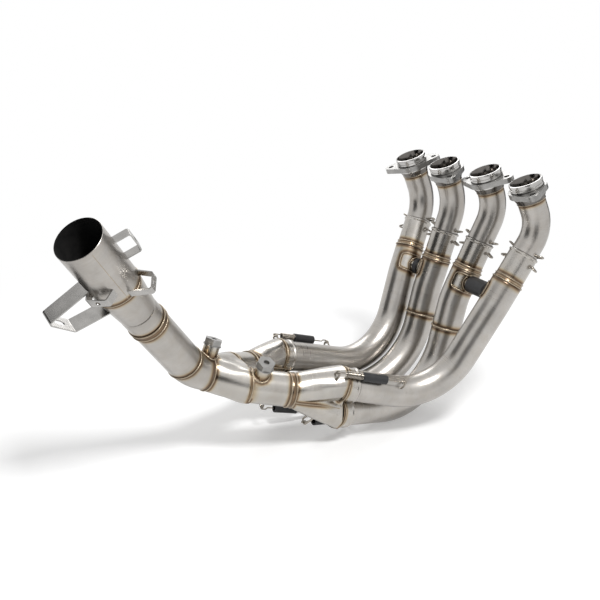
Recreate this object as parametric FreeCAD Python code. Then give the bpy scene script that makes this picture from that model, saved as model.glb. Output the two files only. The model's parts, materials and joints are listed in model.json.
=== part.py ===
# Four into two into one exhaust header, lengths in millimetres.
# X points to the front of the bike, Y to its left, Z up from the floor.

import FreeCAD, Part
import math
import os

V = FreeCAD.Vector
OUT = "parts"
os.makedirs(OUT, exist_ok=True)

# Tube sizes
WALL = 1.2
STUB_OD = 40.0
SLIP_CLEARANCE = 0.1
PRIMARY_OD = 45.6
SECONDARY_OD = 48.0
OUTLET_OD = 50.0
SLEEVE_OD = 60.8

# Stations along every primary centreline, measured from the inlet mouth
STUB_START = 31.0
SOCKET_START = 114.5
SOCKET_END = 154.5
REDUCER_END = 162.5
STUB_INSERTION = 26.0
COLLECTOR_INSERTION = 20.0

# Length of cutters and test lines that pass right through a wall
THROUGH = 100.0

# Upper part of the primary centrelines: the mouths stand in a row, one pitch apart
INLET_PITCH = 85.0
PRIMARIES = {
    1: {"place": 1.5, "mouth": (-2.5, 366.2), "shoulder": (25.2, 119.8, 288.5),
        "bends": [66.5, 150.0, 101.7], "flange_turn": 45.0, "branch": 188.5, "seam": None},
    2: {"place": 0.5, "mouth": (-4.2, 367.2), "shoulder": (18.9, 37.9, 302.2),
        "bends": [78.1, 150.0, 125.0], "flange_turn": -33.0, "branch": 181.5, "seam": 252.5},
    3: {"place": -0.5, "mouth": (1.6, 368.0), "shoulder": (21.7, -49.8, 310.6),
        "bends": [62.6, 150.0, 104.3], "flange_turn": 13.0, "branch": 180.5, "seam": 256.5},
    4: {"place": -1.5, "mouth": (-1.3, 367.4), "shoulder": (23.3, -139.5, 297.9),
        "bends": [53.7, 150.0, 96.0], "flange_turn": -35.0, "branch": 185.5, "seam": None},
}

# Lower part of each pair of centrelines, upper pipe first, at the neck, the low bend and the joint:
# the middle between the two, the direction from lower to upper, and the gap between the skins
PAIRS = {
    (1, 2): [
        ((-29.2, 71.8, 173.6), (-0.112, 0.957, 0.266), 12.6),
        ((-84.0, 58.6, 17.6), (-0.309, 0.750, 0.585), 9.5),
        ((-276.1, 61.2, 68.7), (0.016, 0.392, 0.920), 5.7),
    ],
    (4, 3): [
        ((-40.4, -78.4, 179.2), (-0.105, -0.983, 0.154), 49.9),
        ((-101.6, -64.9, 27.6), (-0.468, -0.724, 0.507), 53.1),
        ((-253.4, -59.2, 66.6), (0.037, -0.413, 0.910), 5.7),
    ],
}
NEIGHBOUR = {1: 2, 2: 1, 3: 4, 4: 3}

# Inlet rings: radius and distance from the mouth
RING_RIM_R = 24.2
RING_NECK_R = 21.6
RING_BORE_R = 18.2
RING_MOUTH_R = 22.4
RING_COLLAR_R = 23.6
RING_SHOULDER = 11.0
RING_NECK_END = 20.5
RING_GROOVE = 0.9
RING_BORE_START = 9.0
RING_BORE_END = 23.0
RING_WELD = 0.6

# Port flanges
FLANGE_HOLE_CLEARANCE = 0.3
FLANGE_THICKNESS = 8.0
FLANGE_BODY_R = 28.0
FLANGE_STUD_REACH = 36.0
FLANGE_EAR_R = 9.5
FLANGE_STUD_HOLE_R = 4.25
FLANGE_SEAT = 0.2

# Rolled beads and weld seams, heights above the tube
SOCKET_BEAD = 1.3
LEG_BEAD = 1.2
WELD_RISE = 0.7

# Balance tubes between cylinders 1 and 2, and between 3 and 4
SPIGOT_OD = 21.0
BALANCE_SLEEVE_OD = 26.0
SADDLE_HALF_LENGTH = 13.0
SADDLE_HALF_ANGLE = 72.0
SADDLE_RISE = 2.0
SADDLE_SEAT = 0.05
SPIGOT_FLARE = 3.5
SPIGOT_GAP = 0.3
SLEEVE_GAP = 0.6
SLEEVE_FIT = 0.05

# Bent wire hooks
WIRE_R = 1.4
HOOK_WIDTH = 9.0
HOOK_HEIGHT = 9.0
HOOK_BEND = 3.2
HOOK_ROOT = 4.0

# Hooks beside each slip joint: stations from the socket mouth, lean along the pipe, turn from the viewer
SLIP_HOOKS = ((-3.0, -4.0), (10.0, 5.0))
SLIP_HOOK_TURN = 50.0

# Collectors
COLLECTOR_SOCKET_LENGTH = 21.0
COLLECTOR_PLATE = 2.0
COLLECTOR_END_R = 24.0
COLLECTOR_LAP = 3.0
COLLECTOR_FLARE = 0.6
RING_BAND = 8.0
RING_RISE = 1.1
LOBE_TAPER = 0.85
WAIST = 0.93
WAIST_LIMIT = 0.2
NEAR_END = (-340.0, -44.0, 94.0)
FAR_END = (-357.0, 42.0, 101.0)

# Two into one merge
MERGE_LAP = 3.0
MERGE_FLARE = 0.6
MERGE_STEP = 0.4
NEAR_MERGE = (-402.0, -25.2, 109.5)
FAR_MERGE = (-402.0, 25.2, 114.5)
MERGE_END = (-450.0, 0.0, 130.8)

# Outlet
ELBOW_CORNER = (-471.0, 0.0, 139.0)
OUTLET_KINK = (-558.8, -41.9, 249.8)
MOUTH = (-644.0, -88.0, 365.0)
ELBOW_BEND = 70.0
KINK_BEND = 250.0
ELBOW_END = 44.0
BAND_START = 141.5
BAND_LENGTH = 10.0
CONE_START = 175.0
CONE_END = 228.0

# Sheet brackets along the outlet: station from the merge and reach from the axis at each corner
STRIP = 1.6
STRIP_BEND = 3.0
STRIP_ROOT = 6.0
BRACKETS = {
    "bracket_large": {"angle": -80.0, "width": 24.0, "slot": (9.0, 16.0),
                      "shape": [(257.0, 29.0), (253.0, 87.0), (219.0, 70.0), (209.0, 25.0)]},
    "bracket_top": {"angle": 90.0, "width": 11.0, "slot": (5.0, 9.0),
                    "shape": [(292.0, 28.0), (292.0, 50.0), (262.0, 50.0), (262.0, 28.0)]},
}

# Sheet brackets round the outlet: angle from the viewer and reach from the axis at each corner
HOOPS = {
    "bracket_strap": {"station": 249.5, "width": 12.0, "hole": (6.0, 6.0),
                      "shape": [(-70.0, 28.4), (-54.0, 41.0), (-16.0, 41.0), (5.0, 28.4)]},
    "bracket_side": {"station": 234.0, "width": 10.0, "hole": (3.6, 8.0),
                     "shape": [(85.0, 28.4), (66.0, 51.5), (42.0, 57.0), (20.0, 28.4)]},
}

# Collector springs: hook distances before and after the joint, and the turn towards the viewer
SPRING_R = 5.0
SPRING_GROOVE = 0.8
SPRING_BODY = 160.0
SPRING_WIRE_R = 1.25
SPRING_HOOK_GAP = 0.1
SPRING_LEAD = 12.0
COIL_PITCH = 2.7
COIL_TURNS = 9
DAMPER_R = 6.6
DAMPER_LENGTH = 38.0
DAMPER_CLEARANCE = 0.1
SPRINGS = {
    1: {"before": 88.0, "after": 14.0, "turn": -35.0, "side": 1, "heights": (10.2, 10.2)},
    2: {"before": 34.0, "after": 60.0, "turn": 25.0, "side": -1, "heights": (12.0, 24.0)},
    3: {"before": 42.0, "after": 52.0, "turn": -60.0, "side": -1, "heights": (11.0, 18.0)},
    4: {"before": 65.0, "after": 39.0, "turn": 60.0, "side": 1, "heights": (10.2, 12.0)},
}

# Lambda bungs
BUNG_R = 11.0
BUNG_BORE_R = 8.0
BUNG_HEIGHT = 13.0
BUNG_SEAT = 0.1
PLUG_FLATS = 22.0
PLUG_HEAD = 8.0
PLUG_FLANGE_R = 12.4
PLUG_FLANGE = 1.6
PLUG_REACH = 9.0
PLUG_RECESS_R = 4.0
NEAR_BUNG = ((-388.0, -30.0, 106.0), (0.03, -0.41, 0.90))
MERGE_BUNG = ((-453.4, 0.0, 132.3), (0.37, 0.0, 0.93))


def vec(values):
    """A FreeCAD vector from three numbers."""
    return V(*values)


def unit(vector):
    """The same direction with length one."""
    return V(vector).normalize()


finished = {}


def save(name, shape):
    """Keeps one finished piece, or one group of equal pieces, under its name."""
    solids = shape.Solids
    if len(solids) == 1:
        finished[name] = solids[0]
    else:
        finished[name] = Part.makeCompound(solids)


def frame(origin, direction, towards):
    """A placement with its z along the direction and its x near the second one."""
    z = unit(direction)
    x = towards - z * towards.dot(z)
    x.normalize()
    y = z.cross(x)
    matrix = FreeCAD.Matrix(x.x, y.x, z.x, origin.x, x.y, y.y, z.y, origin.y,
                            x.z, y.z, z.z, origin.z, 0, 0, 0, 1)
    return FreeCAD.Placement(matrix)


def placed(shape, placement):
    """The shape moved from the working origin to its place."""
    moved = shape.copy()
    moved.Placement = placement.multiply(moved.Placement)
    return moved


def turned(profile):
    """A solid of revolution about z from closed points of radius and height."""
    points = [V(r, 0, z) for r, z in profile]
    points.append(points[0])
    face = Part.Face(Part.makePolygon(points))
    return face.revolve(V(0, 0, 0), V(0, 0, 1), 360)


class Route:
    """A centreline made of straight runs joined by tangent arcs."""

    def __init__(self, points, bends):
        corners = [vec(p) for p in points]
        self.pieces = []
        start = corners[0]
        for i in range(1, len(corners) - 1):
            before = unit(corners[i] - corners[i - 1])
            after = unit(corners[i + 1] - corners[i])
            angle = before.getAngle(after)
            radius = bends[i - 1]
            setback = radius * math.tan(angle / 2)
            first = corners[i] - before * setback
            last = corners[i] + after * setback
            inward = unit(after - before * after.dot(before))
            self.add_line(start, first)
            self.pieces.append(("arc", first, before, inward, radius, angle, radius * angle))
            start = last
        self.add_line(start, corners[-1])
        self.length = sum(piece[-1] for piece in self.pieces)

    def add_line(self, start, end):
        """Adds one straight run."""
        step = end - start
        self.pieces.append(("line", start, unit(step), step.Length))

    def at(self, station):
        """Point and direction at a distance from the start."""
        left = station
        for piece in self.pieces:
            if left <= piece[-1] + 1e-9 or piece is self.pieces[-1]:
                return self.inside(piece, left)
            left -= piece[-1]

    def inside(self, piece, distance):
        """Point and direction within one piece."""
        if piece[0] == "line":
            return piece[1] + piece[2] * distance, V(piece[2])
        first, before, inward, radius = piece[1:5]
        turn = distance / radius
        point = first + before * (radius * math.sin(turn)) + inward * (radius * (1 - math.cos(turn)))
        return point, before * math.cos(turn) + inward * math.sin(turn)

    def wire(self, begin, end):
        """The part of the centreline between two stations."""
        edges = []
        passed = 0.0
        for index, piece in enumerate(self.pieces):
            length = piece[-1]
            low = max(begin - passed, 0.0)
            high = end - passed
            if index < len(self.pieces) - 1:
                high = min(high, length)
            if high - low > 1e-3:
                a = self.inside(piece, low)[0]
                b = self.inside(piece, high)[0]
                if piece[0] == "line":
                    edges.append(Part.makeLine(a, b))
                else:
                    middle = self.inside(piece, (low + high) / 2)[0]
                    edges.append(Part.Arc(a, middle, b).toShape())
            passed += length
        return Part.Wire(edges)

    def rod(self, begin, end, radius):
        """A solid round bar along the centreline."""
        point, direction = self.at(begin)
        circle = Part.Wire(Part.makeCircle(radius, point, direction))
        return self.wire(begin, end).makePipe(Part.Face(circle))

    def tube(self, begin, end, outer, inner):
        """A hollow tube along the centreline."""
        point, direction = self.at(begin)
        outside = Part.Face(Part.Wire(Part.makeCircle(outer, point, direction)))
        inside = Part.Face(Part.Wire(Part.makeCircle(inner, point, direction)))
        return self.wire(begin, end).makePipe(outside.cut(inside).Faces[0])

    def collar(self, station, profile):
        """A turned piece standing on the centreline."""
        point, direction = self.at(station)
        return placed(turned(profile), frame(point, direction, V(0, 0, 1)))


def bent_wire(points, bend, radius):
    """Round wire bent at the corner points."""
    route = Route(points, [bend] * (len(points) - 2))
    return route.rod(0, route.length, radius)


# Radii that the fits derive from the tube sizes
stub_r = STUB_OD / 2
socket_in = stub_r + SLIP_CLEARANCE
socket_r = socket_in + WALL
primary_r = PRIMARY_OD / 2
primary_in = primary_r - WALL
leg_in = primary_r + SLIP_CLEARANCE
leg_r = leg_in + WALL
secondary_r = SECONDARY_OD / 2
outlet_r = OUTLET_OD / 2
sleeve_r = SLEEVE_OD / 2
spigot_r = SPIGOT_OD / 2


def primary_points(number):
    """Corner points of one primary centreline, its lower ones spaced from the neighbour's."""
    data = PRIMARIES[number]
    x, z = data["mouth"]
    points = [V(x, data["place"] * INLET_PITCH, z), vec(data["shoulder"])]
    for pair, corners in PAIRS.items():
        if number in pair:
            side = 0.5 if number == pair[0] else -0.5
            for middle, direction, gap in corners:
                points.append(vec(middle) + unit(vec(direction)) * (side * (PRIMARY_OD + gap)))
    return points


def primary_route(number):
    """The centreline of one primary, carried on into its collector leg."""
    data = PRIMARIES[number]
    points = primary_points(number)
    run = unit(points[-1] - points[-2])
    joint = V(points[-1])
    points[-1] = joint + run * COLLECTOR_INSERTION
    return Route([tuple(p) for p in points], data["bends"]), joint, run


routes = {}
joints = {}
runs = {}
for number in PRIMARIES:
    routes[number], joints[number], runs[number] = primary_route(number)

# Inlet rings
ring_profile = [
    (RING_MOUTH_R, 0.0), (RING_RIM_R - 0.8, 0.0), (RING_RIM_R, 0.8), (RING_RIM_R, 3.6),
    (RING_RIM_R - RING_GROOVE, 4.4), (RING_RIM_R - RING_GROOVE, 6.2), (RING_RIM_R, 7.0), (RING_RIM_R, 10.4),
    (RING_RIM_R - 0.6, RING_SHOULDER), (RING_NECK_R, RING_SHOULDER), (RING_NECK_R, RING_NECK_END),
    (RING_COLLAR_R, RING_NECK_END), (RING_COLLAR_R, RING_NECK_END + 2.0),
    (stub_r + RING_WELD, STUB_START - 1.6), (stub_r + RING_WELD, STUB_START), (stub_r - WALL, STUB_START),
    (RING_BORE_R, RING_BORE_END), (RING_BORE_R, RING_BORE_START),
]
for number in routes:
    save("inlet_ring_%d" % number, routes[number].collar(0.0, ring_profile))


def flange_plate():
    """A two eared plate lying on z = 0 with its studs along x."""
    lean = math.acos((FLANGE_BODY_R - FLANGE_EAR_R) / FLANGE_STUD_REACH)
    plate = Part.makeCylinder(FLANGE_BODY_R, FLANGE_THICKNESS)
    for side in (1, -1):
        near = V(side * FLANGE_BODY_R * math.cos(lean), FLANGE_BODY_R * math.sin(lean), 0)
        ear_end = FLANGE_STUD_REACH + FLANGE_EAR_R * math.cos(lean)
        far = V(side * ear_end, FLANGE_EAR_R * math.sin(lean), 0)
        outline = [near, far, V(far.x, -far.y, 0), V(near.x, -near.y, 0), near]
        web = Part.Face(Part.makePolygon(outline)).extrude(V(0, 0, FLANGE_THICKNESS))
        ear = Part.makeCylinder(FLANGE_EAR_R, FLANGE_THICKNESS, V(side * FLANGE_STUD_REACH, 0, 0))
        plate = plate.fuse([web, ear])
    plate = plate.removeSplitter()
    plate = plate.cut(Part.makeCylinder(RING_NECK_R + FLANGE_HOLE_CLEARANCE, FLANGE_THICKNESS))
    for side in (1, -1):
        centre = V(side * FLANGE_STUD_REACH, 0, 0)
        plate = plate.cut(Part.makeCylinder(FLANGE_STUD_HOLE_R, FLANGE_THICKNESS, centre))
    return plate


# Port flanges, loose on the neck of each ring
flange = flange_plate()
for number in routes:
    point, direction = routes[number].at(RING_SHOULDER + FLANGE_SEAT)
    turn = math.radians(PRIMARIES[number]["flange_turn"])
    studs = V(-math.sin(turn), math.cos(turn), 0)
    save("port_flange_%d" % number, placed(flange, frame(point, direction, studs)))

# Stub pipes, from each ring into its slip socket
for number, route in routes.items():
    stub = route.tube(STUB_START, SOCKET_START + STUB_INSERTION, stub_r, stub_r - WALL)
    save("stub_pipe_%d" % number, stub)

# Slip sockets with a rolled bead at the mouth
socket_length = SOCKET_END - SOCKET_START
socket_profile = [
    (socket_in, 0.0), (socket_r + 0.5, 0.0), (socket_r + SOCKET_BEAD, 1.0), (socket_r + SOCKET_BEAD, 2.6),
    (socket_r, 3.8), (socket_r, socket_length), (socket_in, socket_length),
]
for number, route in routes.items():
    save("slip_socket_%d" % number, route.collar(SOCKET_START, socket_profile))

# Reducer rings, welded between socket and primary
reducer_length = REDUCER_END - SOCKET_END
reducer_profile = [
    (socket_in, 0.0), (socket_r + 0.5, 0.0), (socket_r + WELD_RISE, 1.0), (socket_r + 0.3, 2.0),
    (primary_r + 0.1, reducer_length - 2.0), (primary_r + WELD_RISE, reducer_length - 1.0),
    (primary_r + 0.5, reducer_length), (primary_in, reducer_length), (primary_in, reducer_length - 2.0),
    (socket_in, 2.0),
]
for number, route in routes.items():
    save("reducer_ring_%d" % number, route.collar(SOCKET_END, reducer_profile))


def branch_frame(number, other):
    """Start point and direction of a balance branch from one primary to its neighbour."""
    here = routes[number].at(PRIMARIES[number]["branch"])[0]
    there = routes[other].at(PRIMARIES[other]["branch"])[0]
    return here, unit(there - here), (there - here).Length


# Primary pipes, drilled for the balance tubes
for number, route in routes.items():
    seam = PRIMARIES[number]["seam"]
    end = seam if seam else route.length
    pipe = route.tube(REDUCER_END, end, primary_r, primary_in)
    start, towards, gap = branch_frame(number, NEIGHBOUR[number])
    drill = Part.makeCylinder(spigot_r - WALL, THROUGH, start, towards)
    save("primary_pipe_%d" % number, pipe.cut(drill))
    if seam:
        bend = route.tube(seam, route.length, primary_r, primary_in)
        ridge = route.collar(seam, [(primary_r - 0.3, 0.0), (primary_r + WELD_RISE, 0.0),
                                    (primary_r + WELD_RISE, 2.0), (primary_r - 0.3, 3.2)])
        save("lower_bend_%d" % number, bend.fuse(ridge).removeSplitter())


def saddle(number):
    """A curved plate round the primary with a spigot towards the neighbour."""
    route = routes[number]
    middle = PRIMARIES[number]["branch"]
    begin = middle - SADDLE_HALF_LENGTH
    start, towards, gap = branch_frame(number, NEIGHBOUR[number])
    point, direction = route.at(begin)
    local = frame(point, direction, towards)
    half = math.radians(SADDLE_HALF_ANGLE)

    def corner(radius, angle):
        return local.multVec(V(radius * math.cos(angle), radius * math.sin(angle), 0))

    inner = primary_r + SADDLE_SEAT
    outer = inner + WALL
    edges = [
        Part.Arc(corner(inner, -half), corner(inner, 0), corner(inner, half)).toShape(),
        Part.makeLine(corner(inner, half), corner(outer, half)),
        Part.Arc(corner(outer, half), corner(outer, 0), corner(outer, -half)).toShape(),
        Part.makeLine(corner(outer, -half), corner(inner, -half)),
    ]
    plate = route.wire(begin, middle + SADDLE_HALF_LENGTH).makePipe(Part.Face(Part.Wire(edges)))
    reach = (gap - SPIGOT_GAP) / 2
    spigot = Part.makeCylinder(spigot_r, reach, start, towards)
    neck = Part.makeCone(spigot_r + SPIGOT_FLARE, spigot_r, primary_r + WALL + SADDLE_RISE, start, towards)
    body = route.rod(begin - SPIGOT_OD, middle + SADDLE_HALF_LENGTH + SPIGOT_OD, inner)
    shape = plate.fuse([spigot.cut(body), neck.cut(body)])
    bore = Part.makeCylinder(spigot_r - WALL, reach, start, towards)
    return shape.cut(bore).removeSplitter()


for number in routes:
    save("balance_saddle_%d" % number, saddle(number))

# Rubber sleeves that join each pair of spigots
for first, second in ((1, 2), (3, 4)):
    start, towards, gap = branch_frame(first, second)
    clear = primary_r + WALL + SADDLE_RISE + SLEEVE_GAP
    length = gap - 2 * clear
    outside = Part.makeCylinder(BALANCE_SLEEVE_OD / 2, length, start + towards * clear, towards)
    inside = Part.makeCylinder(spigot_r + SLEEVE_FIT, length, start + towards * clear, towards)
    save("balance_sleeve_%d%d" % (first, second), outside.cut(inside))


def arch_hook(body, point, direction, outward, height, lean):
    """A wire arch welded to a body, and the middle of its bar, which leans along by the given distance."""
    local = frame(point, direction, outward)
    outward = local.multVec(V(1, 0, 0)) - point
    reach = Part.makeLine(point, point + outward * THROUGH).common(body).Length
    half = HOOK_WIDTH / 2
    root = reach - HOOK_ROOT
    top = reach + height
    corners = [(root, -half, 0.0), (top, -half, lean), (top, half, lean), (root, half, 0.0)]
    loop = bent_wire([tuple(local.multVec(vec(c))) for c in corners], HOOK_BEND, WIRE_R).cut(body)
    return local.multVec(V(top, 0, lean)), max(loop.Solids, key=lambda solid: solid.Volume)


# Wire hooks in pairs across each slip joint, on opposite sides of the pipe
outer_side = V(-0.51, -0.80, 0.32)
turn = math.radians(SLIP_HOOK_TURN)
slip_hooks = []
for number, route in routes.items():
    point, direction = route.at(SOCKET_START)
    facing = unit(outer_side - direction * outer_side.dot(direction))
    across = facing.cross(direction)
    right_hand = unit(facing * math.cos(turn) + across * math.sin(turn))
    for outward in (right_hand, right_hand * -1):
        for (ahead, lean), radius in zip(SLIP_HOOKS, (stub_r, socket_r)):
            station = SOCKET_START + ahead
            point, direction = route.at(station)
            body = route.rod(station - 2 * HOOK_WIDTH, station + 2 * HOOK_WIDTH, radius)
            slip_hooks.append(arch_hook(body, point, direction, outward, HOOK_HEIGHT, lean)[1])
save("slip_joint_hooks", Part.makeCompound(slip_hooks))


def lobed_wire(centre, axis, stack, spread, radius, points=32):
    """Outline round two equal circles with the waist filled in."""
    side = axis.cross(stack)
    outline = []
    for i in range(points):
        angle = 2 * math.pi * i / points
        along = abs(math.cos(angle))
        cross = abs(math.sin(angle))
        lobe = radius * radius - (spread * cross) ** 2
        if lobe > 0:
            reach = spread * along + math.sqrt(lobe)
        else:
            reach = 0.0
        waist = (radius * WAIST) / max(cross, WAIST_LIMIT)
        if spread > 0:
            blend = min(1.0, spread / radius)
            reach = max(reach, min(waist, radius + spread * along) * blend + reach * (1 - blend))
        outline.append(centre + stack * (reach * math.cos(angle)) + side * (reach * math.sin(angle)))
    curve = Part.BSplineCurve()
    curve.interpolate(outline, PeriodicFlag=True)
    return Part.Wire(curve.toShape())


def lobed_body(begin, end, start_axis, end_axis, stack, spread, start_r, end_r, grow=0.0, inset=0.0):
    """Two lobes that run together into one round end."""
    axis = unit(end - begin)
    length = (end - begin).Length
    sections = []
    steps = (0.0, 0.25, 0.5, 0.75, 1.0)
    for step in steps:
        shift = inset * (1 - step)
        centre = begin + axis * (length * step + shift)
        local_axis = unit(start_axis * (1 - step) + end_axis * step)
        local_stack = unit(stack - local_axis * stack.dot(local_axis))
        opening = spread * (1 - step) ** LOBE_TAPER
        radius = start_r * (1 - step) + end_r * step + grow
        sections.append(lobed_wire(centre, local_axis, local_stack, opening, radius))
    return Part.makeLoft(sections, True, False)


collector_solids = {}


def collector(name, top, bottom, end, leaving):
    """Legs and body of one two into one collector, its end square to the leaving direction."""
    heads = [joints[n] + runs[n] * COLLECTOR_SOCKET_LENGTH for n in (top, bottom)]
    apart = heads[0] - heads[1]
    stack = unit(apart)
    entering = unit(runs[top] + runs[bottom])
    entering = unit(entering - stack * entering.dot(stack))
    begin = (heads[0] + heads[1]) * 0.5 - entering * COLLECTOR_LAP
    sizes = (apart.Length / 2, leg_r + COLLECTOR_FLARE, COLLECTOR_END_R)
    body = lobed_body(begin, end, entering, leaving, stack, *sizes)
    hollow = lobed_body(begin, end, entering, leaving, stack, *sizes, -WALL, COLLECTOR_PLATE)
    for number in (top, bottom):
        leg = Part.makeCylinder(leg_r, COLLECTOR_SOCKET_LENGTH, joints[number], runs[number])
        collector_solids[number] = body.fuse(leg)
    body = body.cut(hollow)
    bead_r = leg_r + LEG_BEAD
    length = COLLECTOR_SOCKET_LENGTH
    profile = [(leg_in, 0.0), (leg_r + 0.4, 0.0), (bead_r, 0.9), (bead_r, 2.4), (leg_r, 3.4),
               (leg_r, length), (leg_in, length)]
    for number in (top, bottom):
        leg = placed(turned(profile), frame(joints[number], runs[number], V(0, 0, 1)))
        save("collector_leg_%d" % number, leg)
        hole = Part.makeCylinder(leg_r, length, joints[number], runs[number])
        body = body.cut(hole)
    save("collector_" + name, body)


collector("near", 4, 3, vec(NEAR_END), unit(vec(NEAR_MERGE) - vec(NEAR_END)))
collector("far", 1, 2, vec(FAR_END), unit(vec(FAR_MERGE) - vec(FAR_END)))

# Bead rings and secondary pipes
secondaries = {}
merge_start = (vec(NEAR_MERGE) + vec(FAR_MERGE)) * 0.5
for name, begin, end in (("near", NEAR_END, NEAR_MERGE), ("far", FAR_END, FAR_MERGE)):
    begin = vec(begin)
    end = vec(end)
    towards = unit(end - begin)
    ring_r = secondary_r
    band = [(ring_r - WALL, 0.0), (ring_r + 0.3, 0.0), (ring_r + RING_RISE, 1.2),
            (ring_r + RING_RISE, RING_BAND - 1.6),
            (ring_r + 0.2, RING_BAND), (ring_r - WALL, RING_BAND)]
    ring = placed(turned(band), frame(begin, towards, V(0, 0, 1)))
    save("collector_ring_" + name, ring)
    start = begin + towards * RING_BAND
    length = (end - start).Length
    outside = Part.makeCylinder(ring_r, length, start, towards)
    inside = Part.makeCylinder(ring_r - WALL, length, start, towards)
    pipe = outside.cut(inside)
    if name == "near":
        pipe = pipe.cut(Part.makeCylinder(BUNG_BORE_R, THROUGH, vec(NEAR_BUNG[0]), vec(NEAR_BUNG[1])))
    save("secondary_pipe_" + name, pipe)
    secondaries[name] = outside

# Merge body, where the two secondary pipes become one
apart = vec(FAR_MERGE) - vec(NEAR_MERGE)
end = vec(MERGE_END)
outlet = Route([MERGE_END, ELBOW_CORNER, OUTLET_KINK, MOUTH], [ELBOW_BEND, KINK_BEND])
leaving = outlet.at(0.0)[1]
axis = unit(end - merge_start)
stack = unit(apart - axis * apart.dot(axis))
begin = merge_start - axis * MERGE_LAP
sizes = (apart.Length / 2, secondary_r + MERGE_FLARE, outlet_r + MERGE_STEP)
merge_solid = lobed_body(begin, end, axis, leaving, stack, *sizes)
merge_hollow = lobed_body(begin, end, axis, leaving, stack, *sizes, -WALL, COLLECTOR_PLATE)
merge = merge_solid.cut(merge_hollow).cut([secondaries["near"], secondaries["far"]])
drill = Part.makeCylinder(BUNG_BORE_R, THROUGH, vec(MERGE_BUNG[0]), vec(MERGE_BUNG[1]))
save("merge_body", merge.cut(drill))

# Outlet elbow and pipe
elbow = outlet.tube(0.0, ELBOW_END, outlet_r, outlet_r - WALL)
save("outlet_elbow", elbow.cut(drill))
save("outlet_pipe", outlet.tube(ELBOW_END, BAND_START, outlet_r, outlet_r - WALL))
band_profile = [
    (outlet_r - WALL, 0.0), (outlet_r + 0.5, 0.0), (outlet_r + 1.0, 1.2), (outlet_r + 0.5, 2.4),
    (outlet_r + 0.5, BAND_LENGTH - 2.4), (outlet_r + 1.0, BAND_LENGTH - 1.2),
    (outlet_r + 0.5, BAND_LENGTH), (outlet_r - WALL, BAND_LENGTH),
]
save("outlet_band", outlet.collar(BAND_START, band_profile))

# Outlet cone and sleeve
cone_length = CONE_END - CONE_START
flare_profile = [(outlet_r - WALL, 0.0), (outlet_r, 0.0),
                 (sleeve_r, cone_length), (sleeve_r - WALL, cone_length)]
straight = outlet.tube(BAND_START + BAND_LENGTH, CONE_START, outlet_r, outlet_r - WALL)
flare = outlet.collar(CONE_START, flare_profile)
save("outlet_cone", straight.fuse(flare).removeSplitter())
sleeve_length = outlet.length - CONE_END
sleeve_profile = [
    (sleeve_r - WALL, 0.0), (sleeve_r, 0.0), (sleeve_r, sleeve_length - 0.4),
    (sleeve_r - 0.4, sleeve_length), (sleeve_r - WALL, sleeve_length),
]
save("outlet_sleeve", outlet.collar(CONE_END, sleeve_profile))

# Solid outside of the outlet, which trims what is welded to it
outlet_solid = outlet.rod(BAND_START + BAND_LENGTH, CONE_START, outlet_r)
flare_full = [(0.0, 0.0), (outlet_r, 0.0), (sleeve_r, cone_length), (0.0, cone_length)]
flare_solid = outlet.collar(CONE_START, flare_full)
sleeve_full = [(0.0, 0.0), (sleeve_r, 0.0), (sleeve_r, sleeve_length), (0.0, sleeve_length)]
sleeve_solid = outlet.collar(CONE_END, sleeve_full)
mouth_direction = outlet.at(CONE_END)[1]
outlet_facing = unit(outer_side - mouth_direction * outer_side.dot(mouth_direction))
outlet_right = mouth_direction.cross(outlet_facing)


def around(angle):
    """Outward direction from the outlet axis, zero facing the viewer."""
    turn = math.radians(angle)
    return outlet_facing * math.cos(turn) + outlet_right * math.sin(turn)


def strip(points, bend, side, width):
    """Sheet strip bent at the corner points, its width along the side direction."""
    route = Route([tuple(p) for p in points], [bend] * (len(points) - 2))
    point, direction = route.at(0.0)
    across = unit(direction.cross(side))
    corners = [point + side * (width * a) + across * (STRIP * b)
               for a, b in ((-0.5, -0.5), (0.5, -0.5), (0.5, 0.5), (-0.5, 0.5), (-0.5, -0.5))]
    return route.wire(0.0, route.length).makePipe(Part.Face(Part.makePolygon(corners)))


def slot(centre, normal, long_way, width, length):
    """A round ended cutter standing through a sheet."""
    local = frame(centre - normal * STRIP_ROOT, normal, long_way)
    half = (length - width) / 2
    height = 2 * STRIP_ROOT
    ends = [Part.makeCylinder(width / 2, height, V(side * half, 0, 0)) for side in (-1, 1)]
    if half == 0:
        return placed(ends[0], local)
    block = Part.makeBox(length - width, width, height, V(-half, -width / 2, 0))
    return placed(block.fuse(ends).removeSplitter(), local)


def bracket(name, corners, sideways, width, opening):
    """A bent strip with an opening in its crown, trimmed where it stands on the outlet."""
    corners[0] = corners[0] - unit(corners[1] - corners[0]) * STRIP_ROOT
    corners[3] = corners[3] - unit(corners[2] - corners[3]) * STRIP_ROOT
    shape = strip(corners, STRIP_BEND, sideways, width)
    crown = unit(corners[2] - corners[1])
    normal = unit(crown.cross(sideways))
    shape = shape.cut(slot((corners[1] + corners[2]) * 0.5, normal, crown, *opening))
    shape = shape.cut([outlet_solid, flare_solid, sleeve_solid])
    save(name, max(shape.Solids, key=lambda solid: solid.Volume))


for name, data in BRACKETS.items():
    outward = around(data["angle"])
    corners = [outlet.at(station)[0] + outward * reach for station, reach in data["shape"]]
    bracket(name, corners, mouth_direction.cross(outward), data["width"], data["slot"])
for name, data in HOOPS.items():
    centre = outlet.at(data["station"])[0]
    corners = [centre + around(angle) * reach for angle, reach in data["shape"]]
    bracket(name, corners, mouth_direction, data["width"], data["hole"])

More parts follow.
